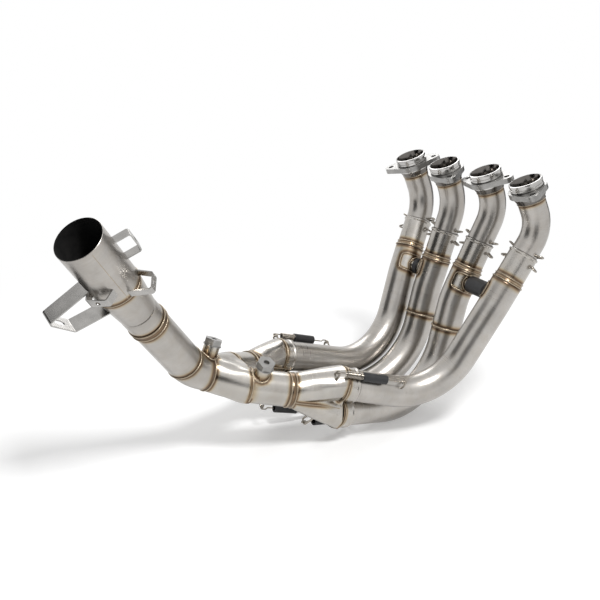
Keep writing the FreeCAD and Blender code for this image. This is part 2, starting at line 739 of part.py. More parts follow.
# Lambda bungs with their plugs
bungs = []
plugs = []
near_axis = unit(vec(NEAR_MERGE) - vec(NEAR_END))
merge_end = [merge_solid, outlet.rod(0.0, ELBOW_END, outlet_r)]
near_end = [merge_solid, secondaries["near"]]
for place, bodies, pipe_axis, pipe_r in ((NEAR_BUNG, near_end, near_axis, secondary_r),
                                         (MERGE_BUNG, merge_end, leaving, outlet_r)):
    base = vec(place[0])
    outward = vec(place[1])
    outward = unit(outward - pipe_axis * outward.dot(pipe_axis))
    top = pipe_r + BUNG_HEIGHT
    bung = Part.makeCylinder(BUNG_R, top, base, outward).cut(bodies)
    bung = bung.cut(Part.makeCylinder(BUNG_BORE_R, top, base, outward))
    bung = max(bung.Solids, key=lambda solid: solid.CenterOfMass.sub(base).dot(outward))
    bung.translate(outward * BUNG_SEAT)
    bungs.append(bung)
    local = frame(base + outward * (top + BUNG_SEAT), outward, pipe_axis)
    hexagon = [V(PLUG_FLATS / math.sqrt(3) * math.cos(math.radians(60 * i)),
                 PLUG_FLATS / math.sqrt(3) * math.sin(math.radians(60 * i)), PLUG_FLANGE) for i in range(7)]
    head = Part.Face(Part.makePolygon(hexagon)).extrude(V(0, 0, PLUG_HEAD))
    plug = Part.makeCylinder(PLUG_FLANGE_R, PLUG_FLANGE)
    plug = plug.fuse([head, Part.makeCylinder(BUNG_BORE_R, PLUG_REACH, V(0, 0, -PLUG_REACH))])
    recess = Part.makeCylinder(PLUG_RECESS_R, PLUG_HEAD * 0.6, V(0, 0, PLUG_FLANGE + PLUG_HEAD * 0.4))
    plugs.append(placed(plug.cut(recess).removeSplitter(), local))
save("lambda_bungs", Part.makeCompound(bungs))
save("lambda_plugs", Part.makeCompound(plugs))


def spring(first, second, outward):
    """A coil spring hooked over two wire bars, and the rubber sleeve round it."""
    axis = unit(second - first)
    local = frame(first, axis, outward)
    length = (second - first).Length
    wrap = WIRE_R + SPRING_WIRE_R + SPRING_HOOK_GAP
    coil_end = SPRING_LEAD + COIL_PITCH * COIL_TURNS
    body_end = coil_end + DAMPER_LENGTH
    near_hook = [(0.0, SPRING_LEAD + 1.0), (0.0, SPRING_LEAD - 2.0), (wrap, SPRING_LEAD - 6.0), (wrap, -wrap),
                 (-wrap, -wrap), (-wrap, 2.0)]
    far_hook = [(0.0, body_end - 1.0), (0.0, length - 9.0), (wrap, length - 5.0), (wrap, length + wrap),
                (-wrap, length + wrap), (-wrap, length - 2.0)]
    wires = []
    for shape in (near_hook, far_hook):
        points = [tuple(local.multVec(V(x, 0, z))) for x, z in shape]
        bends = [1.5, 1.5, wrap - 0.2, wrap - 0.2]
        route = Route(points, bends)
        wires.append(route.rod(0.0, route.length, SPRING_WIRE_R))
    groove_r = SPRING_R - SPRING_GROOVE
    profile = [(0.0, SPRING_LEAD), (groove_r, SPRING_LEAD)]
    for i in range(COIL_TURNS):
        low = SPRING_LEAD + COIL_PITCH * i
        profile += [(SPRING_R, low + COIL_PITCH * 0.3), (SPRING_R, low + COIL_PITCH * 0.7),
                    (groove_r, low + COIL_PITCH)]
    profile += [(groove_r, body_end), (0.0, body_end)]
    coil = placed(turned(profile), local)
    sleeve = [(groove_r + DAMPER_CLEARANCE, coil_end), (DAMPER_R - 0.6, coil_end), (DAMPER_R, coil_end + 0.6),
              (DAMPER_R, body_end - 0.6), (DAMPER_R - 0.6, body_end), (groove_r + DAMPER_CLEARANCE, body_end)]
    return coil.fuse(wires), placed(turned(sleeve), local)


def route_solid(number):
    """Solid outside of the lower run of one primary."""
    route = routes[number]
    return route.rod(route.length - SPRING_BODY, route.length, primary_r)


def spring_side(direction, data):
    """Outward direction of a spring, turned from the silhouette towards the viewer."""
    facing = unit(outer_side - direction * outer_side.dot(direction))
    upward = facing.cross(direction)
    if upward.z < 0:
        upward = upward * -1
    turn = math.radians(data["turn"])
    return unit(upward * (data["side"] * math.cos(turn)) + facing * math.sin(turn))


# Collector springs with their hooks and rubber sleeves
hooks = []
springs = []
dampers = []
for number, data in SPRINGS.items():
    route = routes[number]
    station = route.length - COLLECTOR_INSERTION
    outward = spring_side(runs[number], data)
    point, direction = route.at(station - data["before"])
    front_height, rear_height = data["heights"]
    first, hook = arch_hook(route_solid(number), point, direction, outward, front_height, 0.0)
    hooks.append(hook)
    point = joints[number] + runs[number] * data["after"]
    second, hook = arch_hook(collector_solids[number], point, runs[number], outward, rear_height, 0.0)
    hooks.append(hook)
    if data["side"] > 0:
        first, second = second, first
    coil, sleeve = spring(first, second, outward)
    springs.append(coil)
    dampers.append(sleeve)
save("collector_spring_hooks", Part.makeCompound(hooks))
save("collector_springs", Part.makeCompound(springs))
save("spring_dampers", Part.makeCompound(dampers))

# The origin goes to the floor under the middle of the whole header
whole = FreeCAD.BoundBox()
for shape in finished.values():
    whole.add(shape.optimalBoundingBox(False))
to_origin = V(-whole.Center.x, -whole.Center.y, -whole.ZMin)
print("moved by", to_origin)
for name, shape in finished.items():
    shape.translate(to_origin)
    shape.exportStep(OUT + "/" + name + ".step")
    print(name, "solids", len(shape.Solids), "valid", shape.isValid(), "volume", round(shape.Volume))
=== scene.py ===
# %% [markdown]
# # An exhaust header, dressed for the camera
# The header is a row of four bent pipes that run into two collectors, a merge and one outlet.
# The CAD model says where each piece is and how large it is. This lesson builds smooth pipes,
# weld beads, wound springs and brushed metal on top of it, and lights the whole on a pale floor.

# %% Load the frame
import bmesh
import bpy
import json
import math
from mathutils import Matrix, Vector
from mathutils.bvhtree import BVHTree
from mathutils.kdtree import KDTree


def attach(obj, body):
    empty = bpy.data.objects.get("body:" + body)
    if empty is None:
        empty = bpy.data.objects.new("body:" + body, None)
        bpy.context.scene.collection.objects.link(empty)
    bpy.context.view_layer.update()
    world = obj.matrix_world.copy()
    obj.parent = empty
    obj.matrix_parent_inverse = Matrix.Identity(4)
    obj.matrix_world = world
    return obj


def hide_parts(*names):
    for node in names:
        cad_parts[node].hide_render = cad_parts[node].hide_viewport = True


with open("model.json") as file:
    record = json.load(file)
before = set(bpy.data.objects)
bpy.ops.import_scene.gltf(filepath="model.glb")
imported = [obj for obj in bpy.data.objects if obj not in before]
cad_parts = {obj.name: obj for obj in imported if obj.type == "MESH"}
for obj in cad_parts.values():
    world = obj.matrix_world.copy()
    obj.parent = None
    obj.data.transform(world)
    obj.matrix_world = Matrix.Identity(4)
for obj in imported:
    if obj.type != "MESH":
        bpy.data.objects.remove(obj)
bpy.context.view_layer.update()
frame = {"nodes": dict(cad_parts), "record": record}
nodes = frame["nodes"]
scene = bpy.context.scene
scene.view_settings.view_transform = "Standard"

# %% [markdown]
# The pipes follow the same centrelines as the CAD model, so their corner points and bend radii are
# written here once more, in millimetres. The CAD model's origin is under the middle of the header.
# The place of the first inlet tells how far these points have to move.

# %% Sizes of the real header, in millimetres
WALL = 1.2
STUB_OD = 40.0
PRIMARY_OD = 45.6
SECONDARY_OD = 48.0
OUTLET_OD = 50.0
SLEEVE_OD = 60.8
SLIP_CLEARANCE = 0.1
STUB_START = 31.0
SOCKET_START = 114.5
SOCKET_END = 154.5
REDUCER_END = 162.5
STUB_INSERTION = 26.0
COLLECTOR_INSERTION = 20.0
LEG_LENGTH = 21.0
INLET_PITCH = 85.0
PRIMARIES = {
    1: {"place": 1.5, "mouth": (-2.5, 366.2), "shoulder": (25.2, 119.8, 288.5),
        "bends": [66.5, 150.0, 101.7], "branch": 188.5, "seam": None},
    2: {"place": 0.5, "mouth": (-4.2, 367.2), "shoulder": (18.9, 37.9, 302.2),
        "bends": [78.1, 150.0, 125.0], "branch": 181.5, "seam": 252.5},
    3: {"place": -0.5, "mouth": (1.6, 368.0), "shoulder": (21.7, -49.8, 310.6),
        "bends": [62.6, 150.0, 104.3], "branch": 180.5, "seam": 256.5},
    4: {"place": -1.5, "mouth": (-1.3, 367.4), "shoulder": (23.3, -139.5, 297.9),
        "bends": [53.7, 150.0, 96.0], "branch": 185.5, "seam": None},
}
# The lower part of each pair: middle, direction from the lower pipe to the upper one, and the gap
PAIRS = {
    (1, 2): [
        ((-29.2, 71.8, 173.6), (-0.112, 0.957, 0.266), 12.6),
        ((-84.0, 58.6, 17.6), (-0.309, 0.750, 0.585), 9.5),
        ((-276.1, 61.2, 68.7), (0.016, 0.392, 0.920), 5.7),
    ],
    (4, 3): [
        ((-40.4, -78.4, 179.2), (-0.105, -0.983, 0.154), 49.9),
        ((-101.6, -64.9, 27.6), (-0.468, -0.724, 0.507), 53.1),
        ((-253.4, -59.2, 66.6), (0.037, -0.413, 0.910), 5.7),
    ],
}
NEIGHBOUR = {1: 2, 2: 1, 3: 4, 4: 3}
OUTLET_POINTS = [
    (-450.0, 0.0, 130.8), (-471.0, 0.0, 139.0), (-558.8, -41.9, 249.8), (-644.0, -88.0, 365.0),
]
OUTLET_BENDS = [70.0, 250.0]
ELBOW_END = 44.0
BAND_START = 141.5
BAND_LENGTH = 10.0
CONE_START = 175.0
CONE_END = 228.0
# Each collector: its upper and lower pipe, where it ends, and where its pipe enters the merge
COLLECTORS = {
    "near": {"pipes": (4, 3), "end": (-340.0, -44.0, 94.0), "merge": (-402.0, -25.2, 109.5)},
    "far": {"pipes": (1, 2), "end": (-357.0, 42.0, 101.0), "merge": (-402.0, 25.2, 114.5)},
}
RING_BAND = 8.0
INLET_BORE_MIDDLE = 16.0
stub_r = STUB_OD / 2
socket_r = stub_r + SLIP_CLEARANCE + WALL
primary_r = PRIMARY_OD / 2
leg_r = primary_r + SLIP_CLEARANCE + WALL
secondary_r = SECONDARY_OD / 2
outlet_r = OUTLET_OD / 2
sleeve_r = SLEEVE_OD / 2

# %% [markdown]
# A centreline is a chain of straight runs and arcs. Each arc touches both of its runs, as the
# mandrel bends of a real header do. The helper keeps the chain and gives the point and direction at
# a distance along it, so every weld and clamp can be named by its distance from the inlet.


# %% A centreline of runs and arcs
class Centreline:
    """Straight runs joined by tangent arcs, in millimetres."""

    def __init__(self, points, bends):
        corners = [Vector(p) for p in points]
        self.pieces = []
        start = corners[0]
        for i in range(1, len(corners) - 1):
            before = (corners[i] - corners[i - 1]).normalized()
            after = (corners[i + 1] - corners[i]).normalized()
            angle = before.angle(after)
            setback = bends[i - 1] * math.tan(angle / 2)
            self.add_run(start, corners[i] - before * setback)
            inward = (after - before * after.dot(before)).normalized()
            self.pieces.append(("arc", corners[i] - before * setback, before, inward, bends[i - 1],
                                bends[i - 1] * angle))
            start = corners[i] + after * setback
        self.add_run(start, corners[-1])
        self.length = sum(piece[-1] for piece in self.pieces)

    def add_run(self, start, end):
        """Adds one straight run."""
        self.pieces.append(("run", start, (end - start).normalized(), (end - start).length))

    def at(self, station):
        """Point and direction at a distance from the start."""
        for piece in self.pieces:
            if station <= piece[-1] or piece is self.pieces[-1]:
                break
            station -= piece[-1]
        if piece[0] == "run":
            return piece[1] + piece[2] * station, piece[2].copy()
        first, before, inward, radius = piece[1:5]
        turn = station / radius
        point = first + before * (radius * math.sin(turn))
        point += inward * (radius * (1 - math.cos(turn)))
        return point, before * math.cos(turn) + inward * math.sin(turn)

    def station(self, point):
        """Distance from the start to the place beside a point."""
        best = None
        passed = 0.0
        for piece in self.pieces:
            offset = point - piece[1]
            if piece[0] == "run":
                along = min(max(offset.dot(piece[2]), 0.0), piece[-1])
                miss = (offset - piece[2] * along).length
            else:
                first, before, inward, radius = piece[1:5]
                turn = math.atan2(offset.dot(before), radius - offset.dot(inward))
                along = min(max(turn * radius, 0.0), piece[-1])
                spot = before * (radius * math.sin(along / radius))
                spot += inward * (radius * (1 - math.cos(along / radius)))
                miss = (offset - spot).length
            if best is None or miss < best[0]:
                best = (miss, passed + along)
            passed += piece[-1]
        return best[1]


def corner_points(number):
    """Corner points of one primary pipe, its lower ones spaced from the neighbour's."""
    data = PRIMARIES[number]
    x, z = data["mouth"]
    points = [Vector((x, data["place"] * INLET_PITCH, z)), Vector(data["shoulder"])]
    for pair, corners in PAIRS.items():
        if number in pair:
            side = 0.5 if number == pair[0] else -0.5
            for middle, direction, gap in corners:
                away = Vector(direction).normalized() * (side * (PRIMARY_OD + gap))
                points.append(Vector(middle) + away)
    return points


inlet_one = Centreline(corner_points(1), PRIMARIES[1]["bends"]).at(INLET_BORE_MIDDLE)[0]
inlet_mount = next(m for m in frame["record"]["mounts"] if m["name"] == "inlet_1")
MOVE = Vector(inlet_mount["pos_m"]) * 1000 - inlet_one
print("points move by", [round(v, 3) for v in MOVE])


def moved(point):
    """A point of the lists above, in the frame's own place."""
    return Vector(point) + MOVE


def line_through(points, bends):
    """A centreline in the frame's own place."""
    return Centreline([moved(p) for p in points], bends)


lines = {}
runs = {}
joints = {}
for number, data in PRIMARIES.items():
    points = [moved(p) for p in corner_points(number)]
    joints[number] = points[-1].copy()
    runs[number] = (points[-1] - points[-2]).normalized()
    points[-1] = points[-1] + runs[number] * COLLECTOR_INSERTION
    lines[number] = Centreline(points, data["bends"])
outlet = line_through(OUTLET_POINTS, OUTLET_BENDS)
print("pipe lengths", {number: round(line.length) for number, line in lines.items()})
print("outlet length", round(outlet.length))

# %% [markdown]
# Every finish here is a metal or a rubber. On the real header the pipes are brushed steel, and the
# heat of each weld has left a gold and brown band beside it. The pieces carry a number called
# scorch, one at a weld and falling to nothing a few millimetres away. The metal shader turns it
# into the tint.

# %% Shader helpers
MM = 0.001
WHITE = (1.0, 1.0, 1.0)


def new_finish(name):
    """A new material with its node tree and its shader."""
    material = bpy.data.materials.new(name)
    material.use_nodes = True
    tree = material.node_tree
    return material, tree, tree.nodes["Principled BSDF"]


def noise(tree, vector, scale, detail=3.0, roughness=0.55, stretch=None):
    """A noise value on the given coordinates, stretched per axis if asked."""
    node = tree.nodes.new("ShaderNodeTexNoise")
    node.inputs["Scale"].default_value = scale
    node.inputs["Detail"].default_value = detail
    node.inputs["Roughness"].default_value = roughness
    if stretch:
        mapping = tree.nodes.new("ShaderNodeMapping")
        mapping.inputs["Scale"].default_value = stretch
        tree.links.new(vector, mapping.inputs["Vector"])
        vector = mapping.outputs["Vector"]
    tree.links.new(vector, node.inputs["Vector"])
    return node.outputs["Fac"]


def ramp(tree, value, stops):
    """Colours along a value, from a list of place and colour."""
    node = tree.nodes.new("ShaderNodeValToRGB")
    band = node.color_ramp
    while len(band.elements) < len(stops):
        band.elements.new(0.5)
    for element, (place, colour) in zip(band.elements, stops):
        element.position = place
        element.color = (*colour, 1.0)
    tree.links.new(value, node.inputs["Fac"])
    return node.outputs["Color"]


def span(tree, value, low, high):
    """The value, moved from zero to one into a range."""
    node = tree.nodes.new("ShaderNodeMapRange")
    node.inputs["To Min"].default_value = low
    node.inputs["To Max"].default_value = high
    tree.links.new(value, node.inputs["Value"])
    return node.outputs["Result"]


def multiplied(tree, amount, first, second):
    """The first colour darkened by the second one, by an amount up to one."""
    node = tree.nodes.new("ShaderNodeMix")
    node.data_type = "RGBA"
    node.blend_type = "MULTIPLY"
    node.inputs["Factor"].default_value = amount
    tree.links.new(first, node.inputs[6])
    tree.links.new(second, node.inputs[7])
    return node.outputs[2]


def calculated(tree, operation, first, second):
    """Two linked values joined by a sum, a product or a choice."""
    node = tree.nodes.new("ShaderNodeMath")
    node.operation = operation
    tree.links.new(first, node.inputs[0])
    tree.links.new(second, node.inputs[1])
    return node.outputs[0]


def bump(tree, shader, height, strength, distance):
    """A small relief on the shader's normal."""
    node = tree.nodes.new("ShaderNodeBump")
    node.inputs["Strength"].default_value = strength
    node.inputs["Distance"].default_value = distance
    tree.links.new(height, node.inputs["Height"])
    tree.links.new(node.outputs["Normal"], shader.inputs["Normal"])


# %% [markdown]
# The brushed steel is the main finish. Fine lines run round each pipe, wide ones vary its gloss, and
# the scorch picks its tint from a row of colours: straw, brown, dark, and pale again at the weld.

# %% Brushed steel with its heat tint
BRUSH_STRETCH = (60.0, 2600.0, 1.0)
WIDE_STRETCH = (14.0, 420.0, 1.0)
STREAK = 0.12
HEAT_TINT = [
    (0.0, WHITE), (0.18, (0.99, 0.96, 0.89)), (0.38, (0.88, 0.77, 0.60)),
    (0.54, (0.50, 0.37, 0.25)), (0.70, (0.28, 0.20, 0.15)), (0.82, (0.52, 0.43, 0.34)),
    (1.0, (0.82, 0.75, 0.64)),
]


def pipe_steel(name, tone, rough_low, rough_high):
    """Brushed steel with a heat tint beside its welds and faint stains."""
    material, tree, shader = new_finish(name)
    shader.inputs["Metallic"].default_value = 1.0
    place = tree.nodes.new("ShaderNodeTexCoord").outputs["Object"]
    wrap = tree.nodes.new("ShaderNodeUVMap")
    wrap.uv_map = "along"
    brush_lines = noise(tree, wrap.outputs["UV"], 1.0, 4.0, 0.6, BRUSH_STRETCH)
    wide_lines = noise(tree, wrap.outputs["UV"], 1.0, 3.0, 0.6, WIDE_STRETCH)
    cloud = noise(tree, place, 22.0, 4.0)
    stain = noise(tree, place, 60.0, 5.0, 0.65)
    dark = tuple(c * (1 - STREAK) for c in tone)
    light = tuple(min(1.0, c * (1 + STREAK)) for c in tone)
    base = ramp(tree, cloud, [(0.3, dark), (0.7, light)])
    fine = ramp(tree, brush_lines, [(0.3, (0.86, 0.86, 0.86)), (0.7, WHITE)])
    wide = ramp(tree, wide_lines, [(0.3, (0.9, 0.9, 0.9)), (0.7, WHITE)])
    brushed = multiplied(tree, 0.6, base, fine)
    brushed = multiplied(tree, 0.6, brushed, wide)
    spots = ramp(tree, stain, [(0.35, (0.93, 0.90, 0.86)), (0.6, WHITE)])
    brushed = multiplied(tree, 0.7, brushed, spots)
    heat = tree.nodes.new("ShaderNodeAttribute")
    heat.attribute_name = "scorch"
    patches = span(tree, noise(tree, place, 34.0), 0.62, 1.30)
    tint = ramp(tree, calculated(tree, "MULTIPLY", heat.outputs["Fac"], patches), HEAT_TINT)
    colour = multiplied(tree, 1.0, brushed, tint)
    tree.links.new(colour, shader.inputs["Base Color"])
    tree.links.new(span(tree, wide_lines, rough_low, rough_high), shader.inputs["Roughness"])
    bump(tree, shader, brush_lines, 0.12, 0.0004)
    return material


# %% [markdown]
# The other finishes are plainer: turned, cast and folded metal with a small grain, matt rubber for
# the sleeves, and soot for the inside of the outlet. The dark bore finish is painted shade, and the
# soot and the dark lining also paint shade into the gaps of the slip joints.

# %% Other finishes
def plain_metal(name, tone, rough_low, rough_high, grain, depth):
    """A metal with small grain and light wear, for cast, turned and drawn pieces."""
    material, tree, shader = new_finish(name)
    shader.inputs["Metallic"].default_value = 1.0
    place = tree.nodes.new("ShaderNodeTexCoord").outputs["Object"]
    cloud = noise(tree, place, 70.0, 4.0)
    pores = noise(tree, place, grain, 4.0, 0.6)
    dark = tuple(c * 0.84 for c in tone)
    light = tuple(min(1.0, c * 1.08) for c in tone)
    tree.links.new(ramp(tree, cloud, [(0.3, dark), (0.7, light)]), shader.inputs["Base Color"])
    tree.links.new(span(tree, pores, rough_low, rough_high), shader.inputs["Roughness"])
    bump(tree, shader, pores, depth, 0.0005)
    return material


def rubber(name, tone):
    """Matt black rubber with a dusty grain."""
    material, tree, shader = new_finish(name)
    place = tree.nodes.new("ShaderNodeTexCoord").outputs["Object"]
    dust = noise(tree, place, 180.0, 5.0, 0.6)
    grey = tuple(c * 1.9 for c in tone)
    tree.links.new(ramp(tree, dust, [(0.4, tone), (0.75, grey)]), shader.inputs["Base Color"])
    tree.links.new(span(tree, dust, 0.42, 0.62), shader.inputs["Roughness"])
    bump(tree, shader, dust, 0.15, 0.0003)
    return material


def soot(name):
    """The blackened inside of a pipe, also used as painted shade in the grooves of sockets and legs.
    """
    material, tree, shader = new_finish(name)
    place = tree.nodes.new("ShaderNodeTexCoord").outputs["Object"]
    crust = noise(tree, place, 90.0, 5.0, 0.6)
    black = ramp(tree, crust, [(0.3, (0.006, 0.006, 0.006)), (0.8, (0.02, 0.019, 0.018))])
    tree.links.new(black, shader.inputs["Base Color"])
    tree.links.new(span(tree, crust, 0.75, 0.95), shader.inputs["Roughness"])
    shader.inputs["Specular IOR Level"].default_value = 0.2
    bump(tree, shader, crust, 0.3, 0.0005)
    return material


PIPE = pipe_steel("brushed_pipe", (0.46, 0.44, 0.415), 0.24, 0.34)
SOCKET = pipe_steel("brushed_socket", (0.48, 0.46, 0.43), 0.2, 0.3)
OUTLET = pipe_steel("brushed_outlet", (0.44, 0.42, 0.395), 0.26, 0.36)
WELD = plain_metal("weld_bead", (0.42, 0.35, 0.26), 0.24, 0.42, 900.0, 0.4)
TURNED = plain_metal("turned_steel", (0.50, 0.49, 0.475), 0.10, 0.20, 500.0, 0.03)
# Painted shade: a dark metal for the inside of the inlet bores
BORE_SHADE = plain_metal("bore_painted_shade", (0.15, 0.14, 0.13), 0.10, 0.22, 500.0, 0.04)
CAST = plain_metal("cast_flange", (0.32, 0.315, 0.305), 0.24, 0.38, 420.0, 0.25)
WIRE = plain_metal("bright_wire", (0.34, 0.31, 0.27), 0.14, 0.26, 600.0, 0.05)
SHEET = plain_metal("folded_sheet", (0.40, 0.39, 0.375), 0.20, 0.32, 500.0, 0.06)
RUBBER = rubber("black_rubber", (0.012, 0.012, 0.013))
# Soot inside the outlet sleeve, and painted shade in the grooves at the mouths of sockets and legs
SOOT_AND_GAP_SHADE = soot("soot_and_gap_shade_lining")
# The dark inner wall of each pipe, also used as painted shade on a pipe just outside a socket's
# mouth
LINING_AND_GAP_SHADE = plain_metal("dark_lining_and_gap_shade", (0.16, 0.15, 0.14), 0.4, 0.6, 300.0, 0.2)
print("finishes", len(bpy.data.materials))

# %% [markdown]
# A pipe is a ring of points pushed along the centreline. The ring is extruded on a straight run and
# spun round the centre of an arc, which is how the real pipe runs round a mandrel.

# %% Pipe and ring builders
AROUND = 72
STEP = 3.0
SAME_POINT = 1e-4


def side_of(direction):
    """A direction square to the given one, as level as it can be."""
    side = direction.cross(Vector((0, 0, 1)))
    if side.length < 1e-3:
        side = Vector((1, 0, 0))
    return side.normalized()


def local_frame(point, direction, towards=None):
    """A matrix with z along the direction, and x near the second one where it is given."""
    z = direction.normalized()
    x = towards if towards else side_of(z)
    x = (x - z * x.dot(z)).normalized()
    y = z.cross(x)
    matrix = Matrix((x, y, z)).transposed().to_4x4()
    matrix.translation = point
    return matrix


def swept(bm, line, begin, end, radius, around=AROUND, step=STEP):
    """Pushes a circle along a centreline."""
    start = local_frame(*line.at(begin))
    ring = bmesh.ops.create_circle(bm, segments=around, radius=radius, matrix=start)
    edges = list({e for v in ring["verts"] for e in v.link_edges})
    passed = 0.0
    for piece in line.pieces:
        low = max(begin - passed, 0.0)
        high = min(end - passed, piece[-1])
        passed += piece[-1]
        if high - low < SAME_POINT:
            continue
        steps = max(1, math.ceil((high - low) / step))
        if piece[0] == "run":
            for _ in range(steps):
                grown = bmesh.ops.extrude_edge_only(bm, edges=edges)["geom"]
                edges = [g for g in grown if isinstance(g, bmesh.types.BMEdge)]
                fresh = [g for g in grown if isinstance(g, bmesh.types.BMVert)]
                edges = [e for e in edges if all(v in fresh for v in e.verts)]
                bmesh.ops.translate(bm, verts=fresh, vec=piece[2] * ((high - low) / steps))
        else:
            first, before, inward, bend = piece[1:5]
            grown = bmesh.ops.spin(bm, geom=edges, cent=first + inward * bend,
                                   axis=before.cross(inward), dvec=(0, 0, 0),
                                   angle=(high - low) / bend, steps=steps,
                                   use_merge=False, use_duplicate=False)["geom_last"]
            edges = [g for g in grown if isinstance(g, bmesh.types.BMEdge)]


def turned(bm, matrix, profile, closed=True):
    """Spins a profile of radius and height round the matrix's z axis."""
    verts = [bm.verts.new(matrix @ Vector((r, 0, z))) for r, z in profile]
    pairs = list(zip(verts, verts[1:]))
    if closed:
        pairs.append((verts[-1], verts[0]))
    edges = [bm.edges.new(pair) for pair in pairs]
    axis = matrix.to_3x3() @ Vector((0, 0, 1))
    bmesh.ops.spin(bm, geom=verts + edges, cent=matrix.translation, axis=axis, dvec=(0, 0, 0),
                   angle=2 * math.pi, steps=AROUND, use_merge=True, use_duplicate=False)
    bmesh.ops.remove_doubles(bm, verts=bm.verts, dist=SAME_POINT)


def cut_by_plane(bm, spot, way):
    """Cuts every face that a plane crosses, and keeps both sides."""
    bmesh.ops.bisect_plane(bm, geom=bm.verts[:] + bm.edges[:] + bm.faces[:], dist=0.01,
                           plane_co=spot, plane_no=way)


# %% [markdown]
# The brushed finish needs to know which way runs along the pipe. So each point gets a place on a UV
# map: how far round the pipe it is, and how far along. A face that crosses the join of the map has
# its far side moved on by one turn, or the lines would smear there.

# %% The wrap of a pipe
def add_wrap(bm, line):
    """A UV map that runs round and along the pipe, in metres."""
    layer = bm.loops.layers.uv.new("along")
    bm.verts.index_update()
    places = []
    for vert in bm.verts:
        station = line.station(vert.co)
        point, direction = line.at(station)
        local = local_frame(point, direction).inverted() @ vert.co
        places.append((math.atan2(local.y, local.x), station))
    for face in bm.faces:
        turns = [places[loop.vert.index][0] for loop in face.loops]
        crossing = max(turns) - min(turns) > math.pi
        for loop, angle in zip(face.loops, turns):
            if crossing and angle < 0:
                angle += 2 * math.pi
            loop[layer].uv = (angle * primary_r * MM, places[loop.vert.index][1] * MM)


# %% [markdown]
# Every piece is finished in the same way. Its faces are turned outwards, it is scaled to metres and
# shaded smooth with its sharp edges kept, and it takes the place of its CAD node.

# %% From a mesh to a finished piece
def finished(bm, name, materials, stands_for=(), sharp=35.0, thick=0.0, turn=True):
    """Makes the object in metres, smooth with its sharp edges kept, riding on the header."""
    if turn:
        bmesh.ops.recalc_face_normals(bm, faces=bm.faces)
    bmesh.ops.scale(bm, vec=(MM, MM, MM), verts=bm.verts)
    for face in bm.faces:
        face.smooth = True
    for edge in bm.edges:
        if len(edge.link_faces) == 2:
            edge.smooth = edge.calc_face_angle(0.0) < math.radians(sharp)
    mesh = bpy.data.meshes.new(name)
    bm.to_mesh(mesh)
    bm.free()
    for material in materials:
        mesh.materials.append(material)
    piece = bpy.data.objects.new(name, mesh)
    scene.collection.objects.link(piece)
    if thick:
        wall = piece.modifiers.new("wall", "SOLIDIFY")
        wall.thickness = thick * MM
        wall.offset = -1.0
        wall.use_even_offset = True
    if stands_for:
        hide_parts(*stands_for)
    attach(piece, "root")
    print("made", name, len(mesh.polygons), "faces")
    return piece


# %% [markdown]
# Every weld is a path of points: a ring round a pipe, the outline of a saddle or the foot of a
# bung. The paths come first, because they are used twice. A bead runs along each one, and every
# steel piece takes its heat tint from the distance to the nearest path. A path on a pressed piece
# is laid on its CAD surface.

# %% Weld paths
welds = []
BEAD_STEP = 0.7


def angles(count):
    """Even angles, once round."""
    return [2 * math.pi * i / count for i in range(count)]


def ring_path(point, direction, radius):
    """Points round a pipe, square to it."""
    matrix = local_frame(point, direction)
    count = math.ceil(2 * math.pi * radius / BEAD_STEP)
    return [matrix @ Vector((radius * math.cos(t), radius * math.sin(t), 0))
            for t in angles(count)]


def add_weld(points, size, closed=True, tint=True):
    """Keeps one weld path with the size of its bead."""
    welds.append({"points": points, "size": size, "closed": closed, "tint": tint})


def ring_weld(line, station, radius, size=0.9):
    """A weld all round a pipe."""
    point, direction = line.at(station)
    add_weld(ring_path(point, direction, radius), size)


def surface_of(*names):
    """The outer surface of some CAD nodes, in millimetres, ready to lay points on."""
    bm = bmesh.new()
    for name in names:
        bm.from_mesh(nodes[name].data)
    bmesh.ops.scale(bm, vec=(1 / MM, 1 / MM, 1 / MM), verts=bm.verts)
    tree = BVHTree.FromBMesh(bm)
    bm.free()
    return tree


def spaced(points, closed):
    """The same path with points at even distances."""
    if closed:
        points = points + [points[0]]
    out = []
    left = 0.0
    for a, b in zip(points, points[1:]):
        length = (b - a).length
        while left < length:
            out.append(a.lerp(b, left / length))
            left += BEAD_STEP
        left -= length
    return out


def laid(tree, starts, towards):
    """Where rays from the start points meet the surface."""
    hits = []
    for start in starts:
        spot = tree.ray_cast(start, towards)[0]
        if spot is not None:
            hits.append(spot)
    return hits


# %% [markdown]
# Each primary pipe has the same welds: one under its inlet ring, two at the reducer, and one where
# the leg of the collector ends. The two middle pipes have one more, at the seam of the lower bend.

# %% Welds round the primary pipes
for number, line in lines.items():
    ring_weld(line, STUB_START, stub_r + 0.3, 0.7)
    ring_weld(line, SOCKET_END + 1.0, socket_r + 0.5)
    ring_weld(line, REDUCER_END - 1.0, primary_r + 0.4)
    if PRIMARIES[number]["seam"]:
        ring_weld(line, PRIMARIES[number]["seam"] + 1.6, primary_r + 0.5, 1.1)
    head = joints[number] + runs[number] * (LEG_LENGTH - 3.4)
    add_weld(ring_path(head, runs[number], leg_r + 0.4), 1.1)
print("welds round the primary pipes", len(welds))

# %% [markdown]
# A short tube balances the pressure between two neighbouring pipes. It stands on a saddle, which is
# a plate bent round the pipe. A circle whose sine and cosine are pushed outwards gives the outline
# with its round corners, and the tube's own spigot has a ring of weld at its foot.

# %% Welds of the saddles
SADDLE_HALF_LENGTH = 13.0
SADDLE_HALF_ANGLE = 72.0
SADDLE_OUT = primary_r + WALL + 0.2
SADDLE_ROUNDNESS = 0.35
SADDLE_WELD_DEPTH = 0.6
SPIGOT_R = 10.5
SPIGOT_WELD_R = SPIGOT_R + 2.6


def squared(value):
    """A sine or cosine pushed outwards, which turns a circle into a plate with round corners."""
    return math.copysign(abs(value) ** SADDLE_ROUNDNESS, value)


